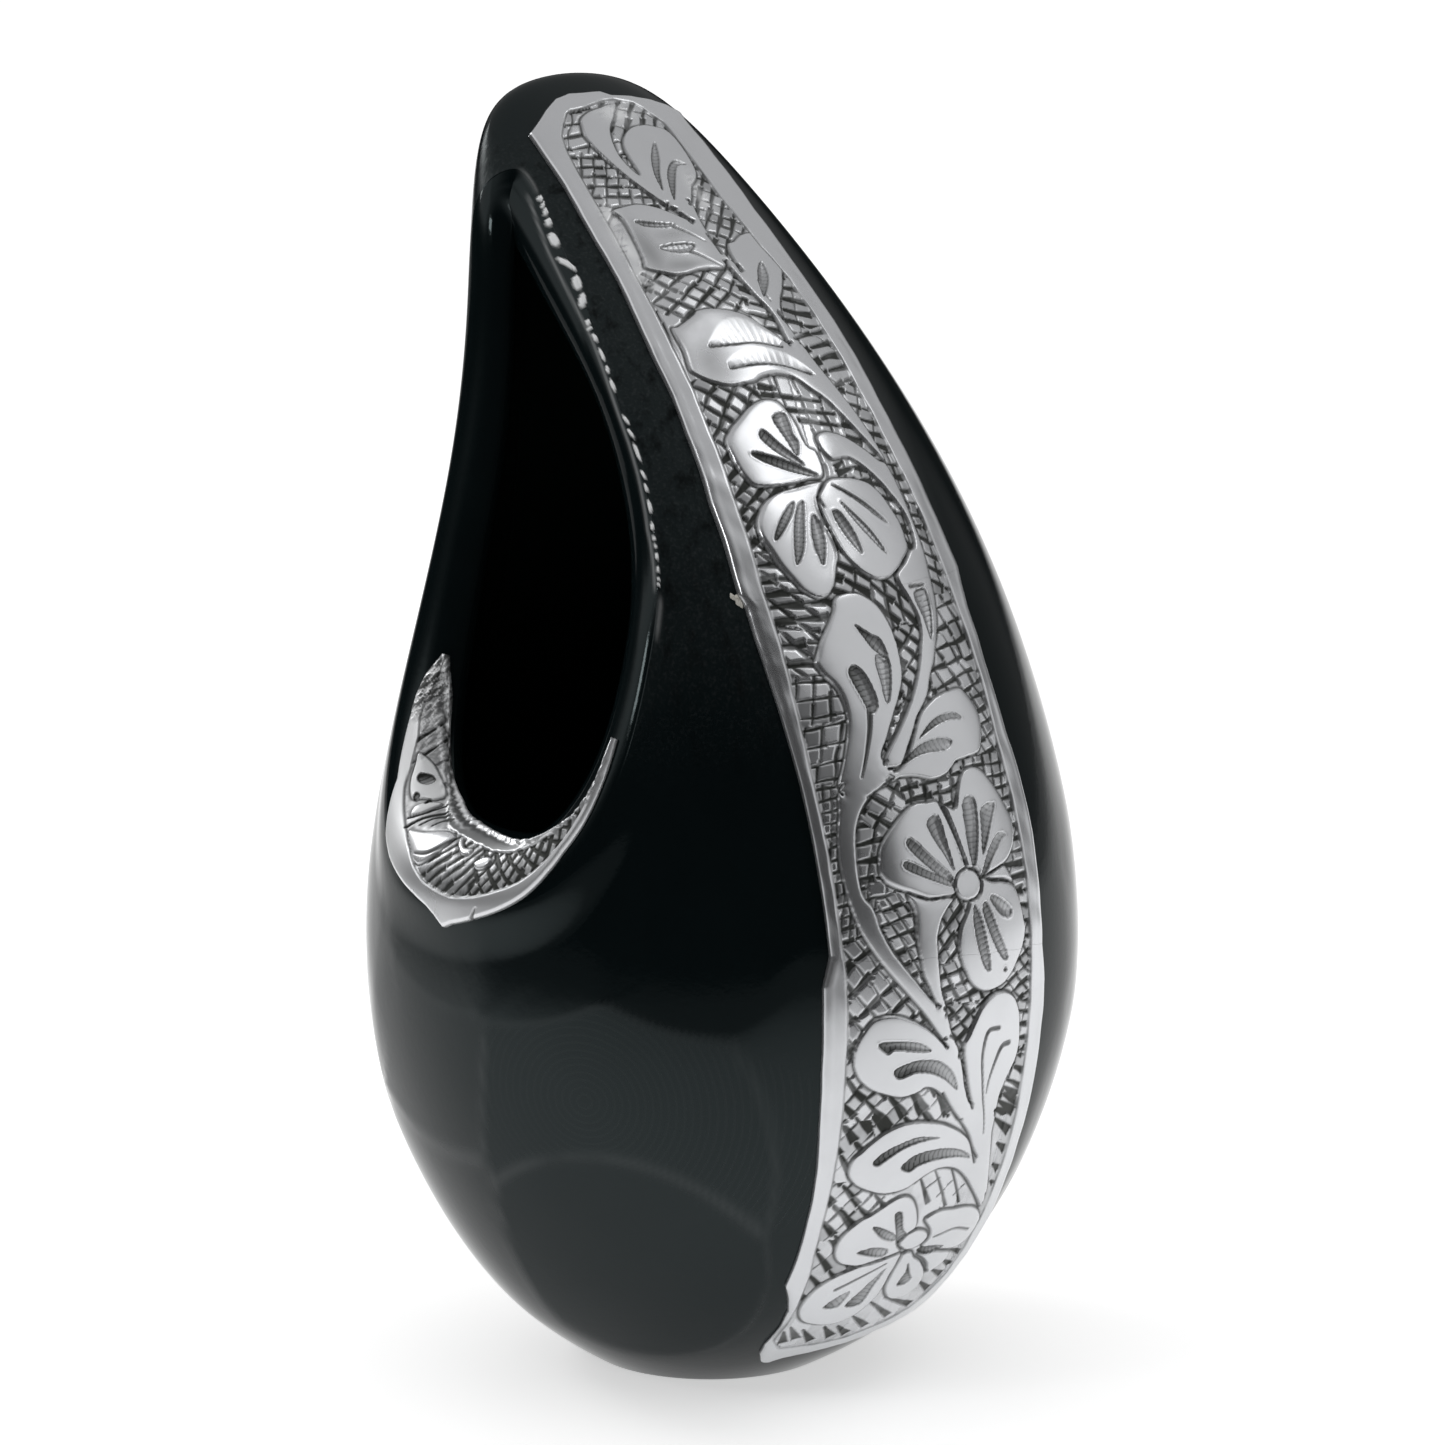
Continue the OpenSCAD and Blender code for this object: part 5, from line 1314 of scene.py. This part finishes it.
give(crumb(), CEMENT)

# ---------------------------------------------------------------- stage
floor_me = bpy.data.meshes.new("floor")
floor_me.from_pydata([(-8, -8, -0.0001), (8, -8, -0.0001), (8, 8, -0.0001), (-8, 8, -0.0001)], [], [(0, 1, 2, 3)])
floor = bpy.data.objects.new("floor", floor_me)
bpy.context.scene.collection.objects.link(floor)
give(floor, floor_material())

scene = bpy.context.scene
scene.view_settings.view_transform = "Standard"
world = bpy.data.worlds.new("studio")
scene.world = world
world.use_nodes = True
wt = world.node_tree
bg = wt.nodes["Background"]
tc = wt.nodes.new("ShaderNodeTexCoord")
sep = wt.nodes.new("ShaderNodeSeparateXYZ")
wt.links.new(tc.outputs["Generated"], sep.inputs[0])


def wmath(op, a, b=0.0, c=None, clamp=False):
    n = wt.nodes.new("ShaderNodeMath")
    n.operation = op
    n.use_clamp = clamp
    for i, x in enumerate((a, b, c)):
        if isinstance(x, bpy.types.NodeSocket):
            wt.links.new(x, n.inputs[i])
        elif x is not None:
            n.inputs[i].default_value = x
    return n.outputs[0]


def along(axis, a, b, lo, hi):
    # smooth change of brightness along one direction of the room
    d = wt.nodes.new("ShaderNodeVectorMath")
    d.operation = "DOT_PRODUCT"
    wt.links.new(tc.outputs["Generated"], d.inputs[0])
    d.inputs[1].default_value = axis
    r = wt.nodes.new("ShaderNodeMapRange")
    r.interpolation_type = "SMOOTHSTEP"
    wt.links.new(d.outputs["Value"], r.inputs["Value"])
    for k, x in (("From Min", a), ("From Max", b), ("To Min", lo), ("To Max", hi)):
        r.inputs[k].default_value = x
    return r.outputs["Result"]


# bright overhead and behind, grey on the right, dark in front and along the horizon
over = wmath("MULTIPLY", along((0, 0, 1), 0.15, 0.5, 0.0, 0.5), along(-FRONT, -0.72, -0.32, 0.0, 1.0))
right = wmath("MULTIPLY", along(SIDE, 0.42, 0.62, 0.0, 0.72), along(-FRONT, -0.6, -0.35, 0.0, 1.0))
right = wmath("MULTIPLY", right, along(-FRONT, 0.1, 0.5, 1.0, 0.2))
left = wmath("MULTIPLY", along(-SIDE, 0.4, 0.65, 0.0, 0.85), along((0, 0, 1), 0.22, 0.42, 0.0, 1.0))
left = wmath("MULTIPLY", left, wmath("MULTIPLY", along(-FRONT, -0.6, -0.3, 0.0, 1.0), along(FRONT, -0.5, -0.2, 0.0, 1.0)))
strength = wmath("ADD", wmath("MAXIMUM", wmath("MAXIMUM", over, right), left), 0.02)
bg.inputs["Color"].default_value = (1, 1, 1, 1)
wt.links.new(strength, bg.inputs["Strength"])


def lamp(name, kind, where, at, energy, size=1.0, size_y=None, glossy=True, color=(1, 1, 1)):
    d = bpy.data.lights.new(name, kind)
    d.energy = energy
    d.color = color
    if kind == "AREA":
        d.shape = "RECTANGLE" if size_y else "SQUARE"
        d.size = size
        if size_y:
            d.size_y = size_y
    elif kind == "SUN":
        d.angle = size
    ob = bpy.data.objects.new(name, d)
    scene.collection.objects.link(ob)
    ob.location = where
    ob.rotation_euler = (Vector(at) - Vector(where)).to_track_quat("-Z", "Y").to_euler()
    ob.visible_glossy = glossy
    return ob


def from_camera(right, up, back):
    return AIM + SIDE * right + Vector((0, 0, 1)) * up + FRONT * back


lamp("overhead", "SUN", (0.2, 0.1, 3), (0, 0, 0), 0.7, math.radians(80), glossy=False)
lamp("softbox", "AREA", from_camera(0.56, 0.83, -0.02), AIM + Vector((0, 0, 0.05)), 0.5, 0.4, 0.28)
lamp("left_box", "AREA", from_camera(-0.75, 0.55, -0.42), AIM, 2.0, 0.35, 0.3)
lamp("left_key", "AREA", from_camera(-0.5, 0.42, 0.46), AIM, 0.4, 0.12, 0.12)

cam_d = bpy.data.cameras.new("camera")
cam = bpy.data.objects.new("camera", cam_d)
scene.collection.objects.link(cam)
cam.location = AIM + BACK * 0.9
cam.rotation_euler = (-BACK).to_track_quat("-Z", "Y").to_euler()
cam_d.sensor_width = 36
cam_d.lens = 144.7
cam_d.shift_x = 0.0085
cam_d.shift_y = 0.0094
cam_d.clip_start = 0.01
cam_d.clip_end = 100
scene.camera = cam
